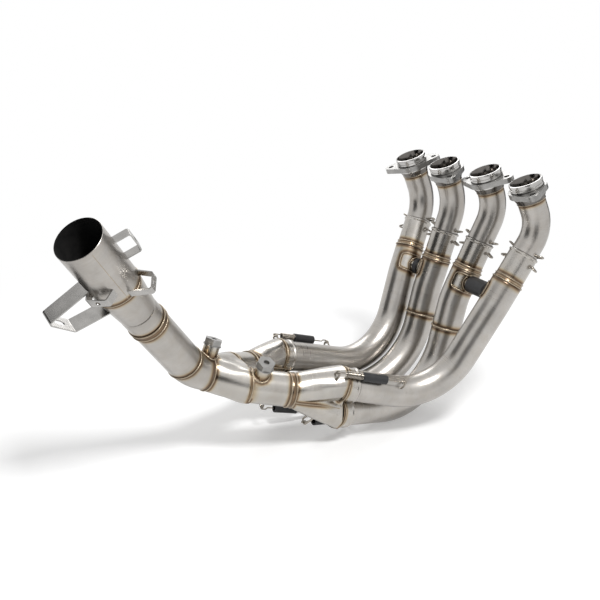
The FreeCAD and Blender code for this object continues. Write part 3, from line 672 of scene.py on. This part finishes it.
def saddle_outline(number):
    """Outline of the plate that the balance tube stands on, and the ring at the spigot's foot."""
    line = lines[number]
    middle = PRIMARIES[number]["branch"]
    here = line.at(middle)[0]
    other = NEIGHBOUR[number]
    towards = lines[other].at(PRIMARIES[other]["branch"])[0] - here
    direction = line.at(middle - SADDLE_HALF_LENGTH)[1]
    side = (towards - direction * towards.dot(direction)).normalized()
    points = []
    for t in angles(160):
        across = squared(math.cos(t)) * math.radians(SADDLE_HALF_ANGLE)
        ahead = squared(math.sin(t)) * SADDLE_HALF_LENGTH
        point, direction = line.at(middle + ahead)
        x = (side - direction * side.dot(direction)).normalized()
        out = x * math.cos(across) + direction.cross(x) * math.sin(across)
        points.append(point + out * (SADDLE_OUT - SADDLE_WELD_DEPTH))
    foot = []
    out = towards.normalized()
    matrix = local_frame(here, out)
    for t in angles(60):
        flat = Vector((SPIGOT_WELD_R * math.cos(t), SPIGOT_WELD_R * math.sin(t), 0))
        local = matrix.to_3x3() @ flat
        along = direction.dot(local)
        beside = max(0.0, local.length_squared - along ** 2)
        lift = math.sqrt(max(0.0, SADDLE_OUT ** 2 - beside))
        foot.append(here + local + out * lift)
    return spaced(points, True), spaced(foot, True)


for number in lines:
    edge, foot = saddle_outline(number)
    add_weld(edge, 0.8)
    add_weld(foot, 0.8)
print("welds with the saddles", len(welds))

# %% [markdown]
# Each collector ends in a ring, and one pipe runs on from there into the merge. The points at these
# places also give a middle line, which the brushed finish of the pressed pieces follows.

# %% Welds of the collectors and the outlet
MIDDLE_BEND = 20.0
MERGE_WELD_BACK = 3.0
for collector in COLLECTORS.values():
    one, other = (joints[number] for number in sorted(collector["pipes"]))
    end, merge = moved(collector["end"]), moved(collector["merge"])
    collector["way"] = (merge - end).normalized()
    collector["line"] = Centreline([one.lerp(other, 0.5), end, merge, moved(OUTLET_POINTS[0])],
                                   [MIDDLE_BEND, MIDDLE_BEND])
    for ahead, out in ((0.0, 0.6), (RING_BAND - 0.4, 0.5)):
        spot = end + collector["way"] * ahead
        add_weld(ring_path(spot, collector["way"], secondary_r + out), 1.0)
for collector in COLLECTORS.values():
    spot = moved(collector["merge"]) - collector["way"] * MERGE_WELD_BACK
    add_weld(ring_path(spot, collector["way"], secondary_r + 0.6), 1.0)
ring_weld(outlet, 0.4, outlet_r + 0.7)
ring_weld(outlet, ELBOW_END, outlet_r + 0.2)
ring_weld(outlet, BAND_START + 1.2, outlet_r + 0.7)
ring_weld(outlet, BAND_START + BAND_LENGTH - 1.2, outlet_r + 0.7)
ring_weld(outlet, CONE_END, sleeve_r + 0.1, 0.7)
print("welds with the collectors and the outlet", len(welds))

# %% [markdown]
# A collector is pressed in two halves, and a seam joins them on both sides. Its path is found with
# rays: they start outside, run inwards and stop on the CAD surface. The feet of the two bungs are
# found in the same way, from a ring of rays.

# %% Seams and feet laid on the CAD surface
RAY_DISTANCE = 60.0
SEAM_PARTS = 40
COLLECTOR_START = LEG_LENGTH + 1.0
for name, collector in COLLECTORS.items():
    tree = surface_of("collector_" + name)
    top, bottom = collector["pipes"]
    start = (joints[top] + joints[bottom]) * 0.5
    start += (runs[top] + runs[bottom]) * 0.5 * COLLECTOR_START
    end = moved(collector["end"])
    side = (end - start).normalized().cross(joints[top] - joints[bottom]).normalized()
    for face in (1, -1):
        starts = [start.lerp(end, i / SEAM_PARTS) + side * (RAY_DISTANCE * face)
                  for i in range(SEAM_PARTS + 1)]
        add_weld(spaced(laid(tree, starts, side * -face), False), 0.7, closed=False)

# Feet of the two bungs: base, direction outwards and the pieces that carry them
BUNG_WELD_R = 12.1
BUNG_WAVES = 9
BUNGS = [
    ((-388.0, -30.0, 106.0), (0.03, -0.41, 0.90), ("secondary_pipe_near", "merge_body")),
    ((-453.4, 0.0, 132.3), (0.37, 0.0, 0.93), ("merge_body", "outlet_elbow")),
]
for base, outward, carriers in BUNGS:
    tree = surface_of(*carriers)
    out = Vector(outward).normalized()
    matrix = local_frame(moved(base) + out * RAY_DISTANCE, out)
    starts = []
    for t in angles(120):
        reach = BUNG_WELD_R + 0.5 * abs(math.sin(t * BUNG_WAVES))
        starts.append(matrix @ Vector((reach * math.cos(t), reach * math.sin(t), 0)))
    add_weld(spaced(laid(tree, starts, out * -1), True), 1.2)
print("welds with the seams and the bungs", len(welds))

# %% [markdown]
# The outlet sleeve is rolled from one sheet, so a thin seam runs along it, a little to the right of
# the side that faces the camera. It gets a bead without heat. The points of all other paths go into
# a tree that finds the nearest weld to any place.

# %% The long seam, and the tree of hot points
SEAM_ANGLE = 14.0
SEAM_MARGIN = 2.0
VIEWER = Vector((-0.51, -0.80, 0.32))
direction = outlet.at(outlet.length)[1]
facing = (VIEWER - direction * VIEWER.dot(direction)).normalized()
turn = math.radians(SEAM_ANGLE)
seam_out = facing * math.cos(turn) + direction.cross(facing) * math.sin(turn)
seam_length = int(outlet.length - CONE_END) - 2 * SEAM_MARGIN
seam = [outlet.at(CONE_END + SEAM_MARGIN + i)[0] + seam_out * (sleeve_r - 0.25)
        for i in range(int(seam_length))]
add_weld(spaced(seam, False), 0.45, closed=False, tint=False)

heat_points = [p for weld in welds if weld["tint"] for p in weld["points"]]
heat_tree = KDTree(len(heat_points))
for index, spot in enumerate(heat_points):
    heat_tree.insert(spot, index)
heat_tree.balance()
print("weld paths", len(welds), "points", len(heat_points))

# %% [markdown]
# A bead is a small round string laid along its path. Its size swells and shrinks with every step
# of the torch, which gives the row of scales that a hand weld shows.

# %% Beads
SCALE_LENGTH = 1.9
STRING_SIDES = 7
THIN_PART = 0.80
SWELL = 0.28
PHASE_STEP = 0.7


def bead(bm, weld, phase):
    """One string of weld metal along a path."""
    path = weld["points"]
    rings = []
    count = len(path)
    for i, spot in enumerate(path):
        ahead = path[(i + 1) % count] if weld["closed"] else path[min(i + 1, count - 1)]
        behind = path[i - 1] if weld["closed"] or i else path[0]
        matrix = local_frame(spot, ahead - behind)
        wave = abs(math.sin(math.pi * i * BEAD_STEP / SCALE_LENGTH + phase))
        size = weld["size"] * (THIN_PART + SWELL * wave)
        rings.append([bm.verts.new(matrix @ Vector((size * math.cos(t), size * math.sin(t), 0)))
                      for t in angles(STRING_SIDES)])
    pairs = list(zip(rings, rings[1:]))
    if weld["closed"]:
        pairs.append((rings[-1], rings[0]))
    for one, two in pairs:
        for k in range(STRING_SIDES):
            n = (k + 1) % STRING_SIDES
            bm.faces.new((one[k], one[n], two[n], two[k]))
    if not weld["closed"]:
        bm.faces.new(rings[0][::-1])
        bm.faces.new(rings[-1])


bm = bmesh.new()
for index, weld in enumerate(welds):
    bead(bm, weld, index * PHASE_STEP)
finished(bm, "weld_beads", [WELD], sharp=60.0)

# %% [markdown]
# The pipes come next. Each one is swept along its centreline, given its wrap and its heat, and
# thickened inwards to a real wall with a dark lining. Where a pipe slips into a socket, a narrow
# band of it takes the dark lining too, as painted shade for the black gap between the two pipes.

# %% Pipes
# Width in millimetres of the painted shade band on a pipe just outside a socket's mouth
GAP_SHADE = 1.3


def add_heat(bm, reach):
    """Gives each point its scorch: one at a weld, nothing at the reach in millimetres."""
    layer = bm.verts.layers.float.new("scorch")
    for vert in bm.verts:
        gap = heat_tree.find(vert.co)[2]
        vert[layer] = max(0.0, 1.0 - gap / reach)


def bare_pipe(name, line, begin, end, radius, finish, reach=10.0, mouth=None):
    """One pipe with its wrap, heat and wall, and painted shade from just before a socket's mouth."""
    bm = bmesh.new()
    swept(bm, line, begin, end, radius)
    # Painted shade: from just before the socket's mouth the faces take the dark lining, as the gap
    # there looks black
    if mouth:
        cut_by_plane(bm, *line.at(mouth - GAP_SHADE))
        for face in bm.faces:
            if line.station(face.calc_center_median()) > mouth - GAP_SHADE:
                face.material_index = 1
    add_wrap(bm, line)
    add_heat(bm, reach)
    piece = finished(bm, name + "_skin", [finish, LINING_AND_GAP_SHADE], [name], thick=WALL)
    piece.modifiers["wall"].material_offset = 1
    return piece


for number, line in lines.items():
    bare_pipe("stub_pipe_%d" % number, line, STUB_START, SOCKET_START + STUB_INSERTION, stub_r,
              PIPE, reach=7.0, mouth=SOCKET_START)
    begin = REDUCER_END
    lowest = "primary_pipe_%d"
    seam = PRIMARIES[number]["seam"]
    if seam:
        bare_pipe("primary_pipe_%d" % number, line, begin, seam, primary_r, PIPE)
        begin = seam
        lowest = "lower_bend_%d"
    bare_pipe(lowest % number, line, begin, line.length, primary_r, PIPE,
              mouth=line.station(joints[number]))

# %% [markdown]
# Sockets, legs and rings are turned pieces. Each one is a profile of radius and height, spun round
# the pipe's direction. The mouths of the sockets and legs begin with a small groove that is
# painted black as shade, so that the slip joint reads as two pipes, one inside the other.

# %% Slip sockets, reducers, legs and rings
SOCKET_LENGTH = SOCKET_END - SOCKET_START
REDUCER_LENGTH = REDUCER_END - SOCKET_END
SOCKET_BEAD = 1.3
LEG_BEAD = 1.2
GROOVE = 1.6
GROOVE_EDGE = 0.1
PROFILE_STEP = 2.0
socket_in = stub_r + SLIP_CLEARANCE
SOCKET_PROFILE = [
    (socket_in, GROOVE), (socket_r - GROOVE_EDGE, 0.0), (socket_r + 0.6, 0.0),
    (socket_r + SOCKET_BEAD, 0.6), (socket_r + SOCKET_BEAD, 2.6), (socket_r + 0.5, 3.6),
    (socket_r, 4.2), (socket_r, SOCKET_LENGTH), (socket_in, SOCKET_LENGTH),
]
REDUCER_PROFILE = [
    (socket_in, 0.0), (socket_r + 0.3, 0.0), (socket_r + 0.7, 0.7), (socket_r + 0.3, 1.8),
    (primary_r - 0.2, REDUCER_LENGTH - 2.2), (primary_r + 0.6, REDUCER_LENGTH - 1.2),
    (primary_r + 0.4, REDUCER_LENGTH - 0.3), (primary_r, REDUCER_LENGTH),
    (primary_r - WALL, REDUCER_LENGTH), (primary_r - WALL, REDUCER_LENGTH - 2.0),
    (socket_in, 2.0),
]
leg_in = primary_r + SLIP_CLEARANCE
LEG_PROFILE = [
    (leg_in, GROOVE), (leg_r - GROOVE_EDGE, 0.0), (leg_r + 0.3, 0.0), (leg_r + LEG_BEAD, 0.7),
    (leg_r + LEG_BEAD, 2.4), (leg_r + 0.4, 3.4), (leg_r, 4.0), (leg_r, LEG_LENGTH),
    (leg_in, LEG_LENGTH),
]
band_in = secondary_r - WALL
COLLECTOR_RING_PROFILE = [
    (band_in, 0.0), (secondary_r + 0.3, 0.0), (secondary_r + 1.1, 1.4),
    (secondary_r + 1.1, RING_BAND - 1.8), (secondary_r + 0.2, RING_BAND), (band_in, RING_BAND),
]


def divided(profile):
    """The profile with long sides cut into short ones, so that the heat can fade along them."""
    points = []
    for (r0, z0), (r1, z1) in zip(profile, profile[1:] + profile[:1]):
        parts = max(1, math.ceil(math.hypot(r1 - r0, z1 - z0) / PROFILE_STEP))
        points += [(r0 + (r1 - r0) * i / parts, z0 + (z1 - z0) * i / parts)
                   for i in range(parts)]
    return points


def collar(node, line, place, profile, finish, reach=8.0, painted_shade_r=0.0):
    """A turned piece that stands for a CAD node, with painted shade inside the radius of its groove.
    """
    bm = bmesh.new()
    matrix = local_frame(*place)
    turned(bm, matrix, divided(profile))
    add_wrap(bm, line)
    add_heat(bm, reach)
    # Painted shade: faces inside this radius take the soot finish, for the dark gap of the slip
    # joint
    for face in bm.faces:
        spot = matrix.inverted() @ face.calc_center_median()
        if math.hypot(spot.x, spot.y) < painted_shade_r:
            face.material_index = 1
    return finished(bm, node + "_skin", [finish, SOOT_AND_GAP_SHADE], [node])


for number, line in lines.items():
    collar("slip_socket_%d" % number, line, line.at(SOCKET_START), SOCKET_PROFILE, SOCKET,
           reach=9.0, painted_shade_r=socket_r - GROOVE_EDGE)
    collar("reducer_ring_%d" % number, line, line.at(SOCKET_END), REDUCER_PROFILE, SOCKET,
           reach=5.0)
    collar("collector_leg_%d" % number, line, (joints[number], runs[number]), LEG_PROFILE, SOCKET,
           reach=6.0, painted_shade_r=leg_r - GROOVE_EDGE)
for name, collector in COLLECTORS.items():
    collar("collector_ring_" + name, collector["line"],
           (moved(collector["end"]), collector["way"]), COLLECTOR_RING_PROFILE, SOCKET)

# %% [markdown]
# The inlet rings are turned on a lathe and keep their bright finish, with a groove round the rim.
# Their bores are painted darker, as shade inside the mouth. The flange behind each ring is a
# casting, and its CAD shape, merged and smoothed, only needs the finish.

# %% Inlet rings and flanges
RING_RIM_R = 24.2
RING_NECK_R = 21.6
RING_BORE_R = 18.2
RING_MOUTH_R = 22.4
RING_COLLAR_R = 23.6
RING_SHOULDER = 11.0
RING_NECK_END = 20.5
RING_BORE_START = 9.0
RING_BORE_END = 23.0
RING_GROOVE = 0.9
FINER_ROUNDS = 3
RING_PROFILE = [
    (RING_MOUTH_R, 0.0), (RING_RIM_R - 0.8, 0.0), (RING_RIM_R - 0.2, 0.25), (RING_RIM_R, 0.8),
    (RING_RIM_R, 3.6), (RING_RIM_R - RING_GROOVE, 4.0), (RING_RIM_R - RING_GROOVE, 6.6),
    (RING_RIM_R, 7.0), (RING_RIM_R, 10.4), (RING_RIM_R - 0.6, RING_SHOULDER),
    (RING_NECK_R, RING_SHOULDER), (RING_NECK_R, RING_NECK_END), (RING_COLLAR_R, RING_NECK_END),
    (RING_COLLAR_R, RING_NECK_END + 2.0), (stub_r + 0.6, STUB_START - 1.6),
    (stub_r + 0.6, STUB_START), (stub_r - WALL, STUB_START), (RING_BORE_R, RING_BORE_END),
    (RING_BORE_R, RING_BORE_START),
]


def refined(node, finish, sharp=32.0, line=None, cut=0.0, reach=7.0, shape=None):
    """A merged and smoothed copy of a CAD node, cut finer and shaped where asked."""
    bm = bmesh.new()
    bm.from_mesh(nodes[node].data)
    bmesh.ops.scale(bm, vec=(1 / MM, 1 / MM, 1 / MM), verts=bm.verts)
    bmesh.ops.remove_doubles(bm, verts=bm.verts, dist=2e-3)
    bmesh.ops.dissolve_degenerate(bm, edges=bm.edges, dist=1e-3)
    if cut:
        for _ in range(FINER_ROUNDS):
            long_edges = [edge for edge in bm.edges if edge.calc_length() > cut]
            bmesh.ops.subdivide_edges(bm, edges=long_edges, cuts=1)
            bmesh.ops.triangulate(bm, faces=[face for face in bm.faces if len(face.verts) > 3])
    if shape:
        shape(bm)
    if line:
        add_wrap(bm, line)
        add_heat(bm, reach)
    piece = finished(bm, node + "_skin", [finish], [node], sharp, turn=False)
    shading = piece.modifiers.new("shading", "WEIGHTED_NORMAL")
    shading.keep_sharp = True
    return piece


for number, line in lines.items():
    bm = bmesh.new()
    matrix = local_frame(*line.at(0.0))
    turned(bm, matrix, RING_PROFILE)
    # Painted shade: faces inside the mouth take the dark bore finish
    for face in bm.faces:
        spot = matrix.inverted() @ face.calc_center_median()
        if math.hypot(spot.x, spot.y) < RING_MOUTH_R - 0.2 and spot.z < STUB_START - 0.5:
            face.material_index = 1
    name = "inlet_ring_%d" % number
    finished(bm, name + "_skin", [TURNED, BORE_SHADE], [name], sharp=28.0)
    refined("port_flange_%d" % number, CAST)

# %% [markdown]
# The collectors, the merge and the saddles are pressed sheet, so they start as merged and smoothed
# copies of their CAD shapes, with heat along the edges that are welded. Only the collectors need
# more: the CAD shape has a shallow waist, and the real sheet dips in a valley between its pipes.
# Planes cut the copy into small faces, and the points between the pipes are then pressed in.

# %% Sheet pieces, hooks and brackets
CREASE_DEPTH = 0.5
CREASE_ROWS = 26
CREASE_COLUMNS = 9
CREASE_LEAN = 0.5
LOBE_SPARE = 0.8


def crease_between(top, bottom, end):
    """A shaper that presses a valley between two pipes, deep at the legs and gone at the end."""
    start = (top + bottom) * 0.5
    way = (end - start).normalized()
    length = (end - start).length
    apart = top - bottom
    stack = (apart - way * apart.dot(way)).normalized()
    side = way.cross(stack)
    half = apart.length / 2
    planes = [(start + way * (length * i / CREASE_ROWS), way) for i in range(CREASE_ROWS + 1)]
    for i in range(-CREASE_COLUMNS, CREASE_COLUMNS + 1):
        for away in (1, -1) if i else (1,):
            spot = start + stack * (half * i / CREASE_COLUMNS * away)
            lean = half * abs(i) / CREASE_COLUMNS / length * away * CREASE_LEAN
            planes.append((spot, (stack + way * lean).normalized()))

    def shape(bm):
        for spot, square in planes:
            cut_by_plane(bm, spot, square)
        for vert in bm.verts:
            offset = vert.co - start
            t = min(max(offset.dot(way) / length, 0.0), 1.0)
            lobe_r = leg_r + LOBE_SPARE + (secondary_r - leg_r) * t
            inside = (half * (1 - t) - abs(offset.dot(stack))) / lobe_r
            if inside > 0:
                width = math.sqrt(max(0.0, 1.0 - inside ** 2))
                vert.co -= side * (offset.dot(side) * min(CREASE_DEPTH, 1.0 - width))

    return shape


for number, line in lines.items():
    refined("balance_saddle_%d" % number, SOCKET, line=line, cut=3.0, reach=4.5)
for name, collector in COLLECTORS.items():
    heads = [joints[n] + runs[n] * COLLECTOR_START for n in collector["pipes"]]
    crease = crease_between(*heads, moved(collector["end"]))
    refined("collector_" + name, SOCKET, sharp=48.0, line=collector["line"], shape=crease)
near_line = COLLECTORS["near"]["line"]
far_line = COLLECTORS["far"]["line"]
for name, line in (("secondary_pipe_near", near_line), ("secondary_pipe_far", far_line),
                   ("merge_body", near_line)):
    refined(name, SOCKET, sharp=40.0, line=line, cut=5.0)
for name in ("balance_sleeve_12", "balance_sleeve_34", "spring_dampers"):
    refined(name, RUBBER)
for name in ("slip_joint_hooks", "collector_spring_hooks"):
    refined(name, WIRE)
refined("lambda_bungs", SOCKET, line=near_line)
refined("lambda_plugs", CAST)
for name in ("bracket_large", "bracket_side", "bracket_top", "bracket_strap"):
    refined(name, SHEET)

# %% [markdown]
# Each spring hangs on two hooks. Its coil is a real winding: a small circle of wire spun round the
# axis while it moves forward. The ends run on as straight wire and bend round the bars.

# %% Springs
# The bar at the coil's end, the bar at the damper's end, and the way out from the pipe
SPRING_BARS = [
    ((-282.7, 95.3, 119.6), (-185.9, 98.6, 87.7), (0.183, 0.718, 0.672)),
    ((-250.5, 27.2, 11.7), (-341.0, 36.8, 35.9), (-0.205, -0.625, -0.753)),
    ((-221.5, -20.3, 11.1), (-312.4, -30.9, 32.7), (-0.233, 0.703, -0.672)),
    ((-288.4, -85.2, 122.4), (-191.4, -109.0, 94.3), (0.016, -0.744, 0.668)),
]
SPRING_LEAD = 12.0
SPRING_R = 5.0
WIRE_R = 1.0
COIL_PITCH = 2.15
COIL_LENGTH = 24.3
DAMPER_LENGTH = 38.0
HOOK_WIRE_R = 1.4
END_BEND = 1.2
STEPS_PER_TURN = 20


def spring(bm, first, second, outward):
    """One spring with its hooked ends."""
    axis = (second - first).normalized()
    length = (second - first).length
    matrix = local_frame(first, axis, outward)
    wrap = HOOK_WIRE_R + WIRE_R + 0.25
    body_end = SPRING_LEAD + COIL_LENGTH + DAMPER_LENGTH
    mean_r = SPRING_R - WIRE_R
    near_end = [(mean_r, SPRING_LEAD + 0.5), (mean_r * 0.6, SPRING_LEAD - 2.5),
                (wrap, SPRING_LEAD - 6.0), (wrap, -wrap), (-wrap, -wrap), (-wrap, 2.0)]
    far_end = [(0.0, body_end - 3.0), (0.0, length - 9.0), (wrap, length - 5.0),
               (wrap, length + wrap), (-wrap, length + wrap), (-wrap, length - 2.0)]
    for shape in (near_end, far_end):
        points = [matrix @ Vector((x, 0, z)) for x, z in shape]
        line = Centreline(points, [END_BEND, END_BEND, wrap - 0.2, wrap - 0.2])
        swept(bm, line, 0.0, line.length, WIRE_R, around=10, step=1.0)
    turns = COIL_LENGTH / COIL_PITCH
    start = matrix @ Matrix.Translation((mean_r, 0, SPRING_LEAD))
    start = start @ Matrix.Rotation(math.pi / 2, 4, "X")
    ring = bmesh.ops.create_circle(bm, segments=8, radius=WIRE_R, matrix=start)
    edges = list({e for v in ring["verts"] for e in v.link_edges})
    steps = int(turns * STEPS_PER_TURN)
    bmesh.ops.spin(bm, geom=edges, cent=first, axis=axis, dvec=axis * (COIL_LENGTH / steps),
                   angle=2 * math.pi * turns, steps=steps, use_merge=False, use_duplicate=False)


bm = bmesh.new()
for first, second, outward in SPRING_BARS:
    spring(bm, moved(first), moved(second), Vector(outward))
finished(bm, "coil_springs", [WIRE], ["collector_springs"])

# %% [markdown]
# The outlet is one line from the merge to the mouth: an elbow, a pipe, a band, a cone and a sleeve.
# The sleeve is open, so its inside gets a blackened lining.

# %% Outlet
CONE_ROWS = 18
SLEEVE_ROWS = 24
LIP = 0.4
OUTLET_REACH = 8.0
bare_pipe("outlet_elbow", outlet, 0.0, ELBOW_END, outlet_r, OUTLET)
bare_pipe("outlet_pipe", outlet, ELBOW_END, BAND_START, outlet_r, OUTLET)
BAND_PROFILE = [
    (outlet_r - WALL, 0.0), (outlet_r + 0.5, 0.0), (outlet_r + 1.0, 1.2), (outlet_r + 0.5, 2.4),
    (outlet_r + 0.5, BAND_LENGTH - 2.4), (outlet_r + 1.0, BAND_LENGTH - 1.2),
    (outlet_r + 0.5, BAND_LENGTH), (outlet_r - WALL, BAND_LENGTH),
]
collar("outlet_band", outlet, outlet.at(BAND_START), BAND_PROFILE, OUTLET, reach=OUTLET_REACH)

# The cone: a straight start swept on the line, then a flare
cone_length = CONE_END - CONE_START
print("cone", cone_length, "mm long, sleeve", round(outlet.length - CONE_END, 1))
bm = bmesh.new()
swept(bm, outlet, BAND_START + BAND_LENGTH, CONE_START, outlet_r)
flare = [(outlet_r + (sleeve_r - outlet_r) * i / CONE_ROWS, cone_length * i / CONE_ROWS)
         for i in range(CONE_ROWS + 1)]
turned(bm, local_frame(*outlet.at(CONE_START)), flare, closed=False)
bmesh.ops.remove_doubles(bm, verts=bm.verts, dist=0.02)
add_wrap(bm, outlet)
add_heat(bm, OUTLET_REACH)
finished(bm, "outlet_cone_skin", [OUTLET], ["outlet_cone"], thick=WALL)

# The sleeve: a skin, a small round lip and a lining of soot
sleeve_length = outlet.length - CONE_END
sleeve_in = sleeve_r - WALL
skin = [(sleeve_r, sleeve_length * i / SLEEVE_ROWS) for i in range(SLEEVE_ROWS)]
skin += [(sleeve_r, sleeve_length - LIP), (sleeve_r - LIP, sleeve_length),
         (sleeve_in, sleeve_length)]
lining = [(sleeve_in, sleeve_length * (1 - i / SLEEVE_ROWS)) for i in range(1, SLEEVE_ROWS + 1)]
point, direction = outlet.at(CONE_END)
bm = bmesh.new()
turned(bm, local_frame(point, direction), skin + lining)
add_wrap(bm, outlet)
add_heat(bm, OUTLET_REACH)
for face in bm.faces:
    if (face.calc_center_median() - point).cross(direction).length < sleeve_r - 0.7:
        face.material_index = 1
finished(bm, "outlet_sleeve_skin", [OUTLET, SOOT_AND_GAP_SHADE], ["outlet_sleeve"])

# %% [markdown]
# The header stands on a pale floor under soft studio light. The floor fades to plain white away
# from the header, and it keeps the soft shadow under the pipes. The white comes from a glow that
# only the camera and mirrors see, so it adds no light to the metal.

# %% Floor and world
FLOOR_RADIUS = 6.0
FLOOR_TONE = 0.82
FLOOR_LIFT = 0.27
FADE_START = 0.45
FADE_END = 1.1
WORLD_LIGHT = 0.38


def seen_rays(tree):
    """One for rays from the camera, also by way of a mirror or glass."""
    path = tree.nodes.new("ShaderNodeLightPath")
    value = path.outputs["Is Camera Ray"]
    for other in ("Is Glossy Ray", "Is Transmission Ray"):
        value = calculated(tree, "MAXIMUM", value, path.outputs[other])
    return value


def glow(tree, strength):
    """A white light of a linked strength."""
    node = tree.nodes.new("ShaderNodeEmission")
    node.inputs["Color"].default_value = (*WHITE, 1.0)
    tree.links.new(strength, node.inputs["Strength"])
    return node.outputs[0]


def floor_finish():
    """A matt pale floor that turns to plain white away from the header."""
    material, tree, shader = new_finish("pale_floor")
    shader.inputs["Base Color"].default_value = (FLOOR_TONE, FLOOR_TONE, FLOOR_TONE, 1.0)
    shader.inputs["Roughness"].default_value = 0.7
    shader.inputs["Specular IOR Level"].default_value = 0.15
    seen = seen_rays(tree)
    place = tree.nodes.new("ShaderNodeTexCoord").outputs["Object"]
    away = tree.nodes.new("ShaderNodeVectorMath")
    away.operation = "LENGTH"
    tree.links.new(place, away.inputs[0])
    fade = tree.nodes.new("ShaderNodeMapRange")
    fade.interpolation_type = "SMOOTHSTEP"
    fade.inputs["From Min"].default_value = FADE_START
    fade.inputs["From Max"].default_value = FADE_END
    tree.links.new(away.outputs["Value"], fade.inputs["Value"])
    near = tree.nodes.new("ShaderNodeAddShader")
    tree.links.new(shader.outputs[0], near.inputs[0])
    tree.links.new(glow(tree, span(tree, seen, 0.0, FLOOR_LIFT)), near.inputs[1])
    blend = tree.nodes.new("ShaderNodeMixShader")
    tree.links.new(fade.outputs["Result"], blend.inputs[0])
    tree.links.new(near.outputs[0], blend.inputs[1])
    tree.links.new(glow(tree, seen), blend.inputs[2])
    tree.links.new(blend.outputs[0], tree.nodes["Material Output"].inputs["Surface"])
    return material


bm = bmesh.new()
bmesh.ops.create_circle(bm, cap_ends=True, segments=96, radius=FLOOR_RADIUS)
floor_mesh = bpy.data.meshes.new("floor")
bm.to_mesh(floor_mesh)
bm.free()
floor_mesh.materials.append(floor_finish())
floor = bpy.data.objects.new("floor", floor_mesh)
scene.collection.objects.link(floor)

world = bpy.data.worlds.new("studio")
scene.world = world
world.use_nodes = True
tree = world.node_tree
back = tree.nodes["Background"]
back.inputs["Color"].default_value = (*WHITE, 1.0)
tree.links.new(span(tree, seen_rays(tree), WORLD_LIGHT, 1.0), back.inputs["Strength"])
print("floor and world are white for the camera, world light", WORLD_LIGHT)

# %% [markdown]
# The camera stands where the photographer stood. Its place, its turn and its focal length come
# from a fit of the pipes' edges in the photograph.

# %% Camera
AZIMUTH = -32.69
ELEVATION = 18.62
FOCAL_PIXELS = 929.0
FRAME_PIXELS = 600.0
SENSOR_WIDTH = 36.0
STAND = (-972.0, -1050.0, 627.0)
round_turn = math.radians(AZIMUTH)
tilt = math.radians(ELEVATION)
right = Vector((math.cos(round_turn), math.sin(round_turn), 0))
back_way = Vector((math.sin(round_turn) * math.cos(tilt), -math.cos(round_turn) * math.cos(tilt),
                   math.sin(tilt)))
up = back_way.cross(right)
view = bpy.data.cameras.new("photo_camera")
view.sensor_width = SENSOR_WIDTH
view.lens = SENSOR_WIDTH * FOCAL_PIXELS / FRAME_PIXELS
camera = bpy.data.objects.new("photo_camera", view)
stance = Matrix((right, up, back_way)).transposed().to_4x4()
stance.translation = moved(STAND) * MM
camera.matrix_world = stance
scene.collection.objects.link(camera)
scene.camera = camera
print("camera at", [round(v, 3) for v in camera.location], "lens", round(view.lens, 2))

# %% [markdown]
# Two soft lamps light the metal. The key light hangs high in front and throws the shadow backwards,
# and a weaker one behind gives the far pipes an edge. A large lamp has a soft shadow, and it leaves
# a broad streak on a round pipe where a small one would leave a dot.

# %% Soft lamps
def softbox(name, place, target, width, height, power):
    """A large soft lamp that points at a place."""
    lamp = bpy.data.lights.new(name, "AREA")
    lamp.shape = "RECTANGLE"
    lamp.size = width
    lamp.size_y = height
    lamp.energy = power
    box = bpy.data.objects.new(name, lamp)
    aim = (Vector(place) - Vector(target)).normalized()
    box.matrix_world = local_frame(Vector(place), aim, Vector((0, 0, 1)).cross(aim))
    scene.collection.objects.link(box)


softbox("key_light", place=(-0.1, -1.45, 2.35), target=(0, 0, 0.1), width=0.55, height=0.55,
        power=47.0)
softbox("back_light", place=(0.9, 1.4, 1.5), target=(0, 0, 0.15), width=1.2, height=0.8,
        power=12.0)

# %% [markdown]
# White all round makes metal look flat. A photographer stands black cards beside the work, so that
# dark stripes appear along its edges. These cards show only in reflections: they throw no shadow.

# %% Black cards
def card(name, place, target, width, height, tone):
    """A dark card that only reflections can see."""
    material, tree, shader = new_finish(name + "_paper")
    grain = noise(tree, tree.nodes.new("ShaderNodeTexCoord").outputs["Object"], 6.0, 2.0)
    dark = (tone,) * 3
    worn = (tone * 1.6,) * 3
    paper = ramp(tree, grain, [(0.3, dark), (0.8, worn)])
    tree.links.new(paper, shader.inputs["Base Color"])
    shader.inputs["Roughness"].default_value = 0.9
    shader.inputs["Specular IOR Level"].default_value = 0.0
    bm = bmesh.new()
    aim = (Vector(target) - Vector(place)).normalized()
    matrix = local_frame(Vector(place), aim, Vector((0, 0, 1)).cross(aim))
    matrix = matrix @ Matrix.Diagonal((width, height, 1, 1))
    bmesh.ops.create_grid(bm, x_segments=1, y_segments=1, size=0.5, matrix=matrix)
    mesh = bpy.data.meshes.new(name)
    bm.to_mesh(mesh)
    bm.free()
    mesh.materials.append(material)
    sheet = bpy.data.objects.new(name, mesh)
    scene.collection.objects.link(sheet)
    sheet.visible_camera = False
    sheet.visible_diffuse = False
    sheet.visible_shadow = False


card("left_card", place=(-1.5, 0.5, 0.5), target=(0, 0, 0.15), width=1.4, height=1.6, tone=0.03)
card("front_card", place=(-0.9, -1.6, 0.3), target=(0, 0, 0.2), width=1.3, height=0.9, tone=0.05)
card("right_card", place=(1.5, 0.3, 0.6), target=(0, 0, 0.2), width=0.7, height=1.6, tone=0.04)
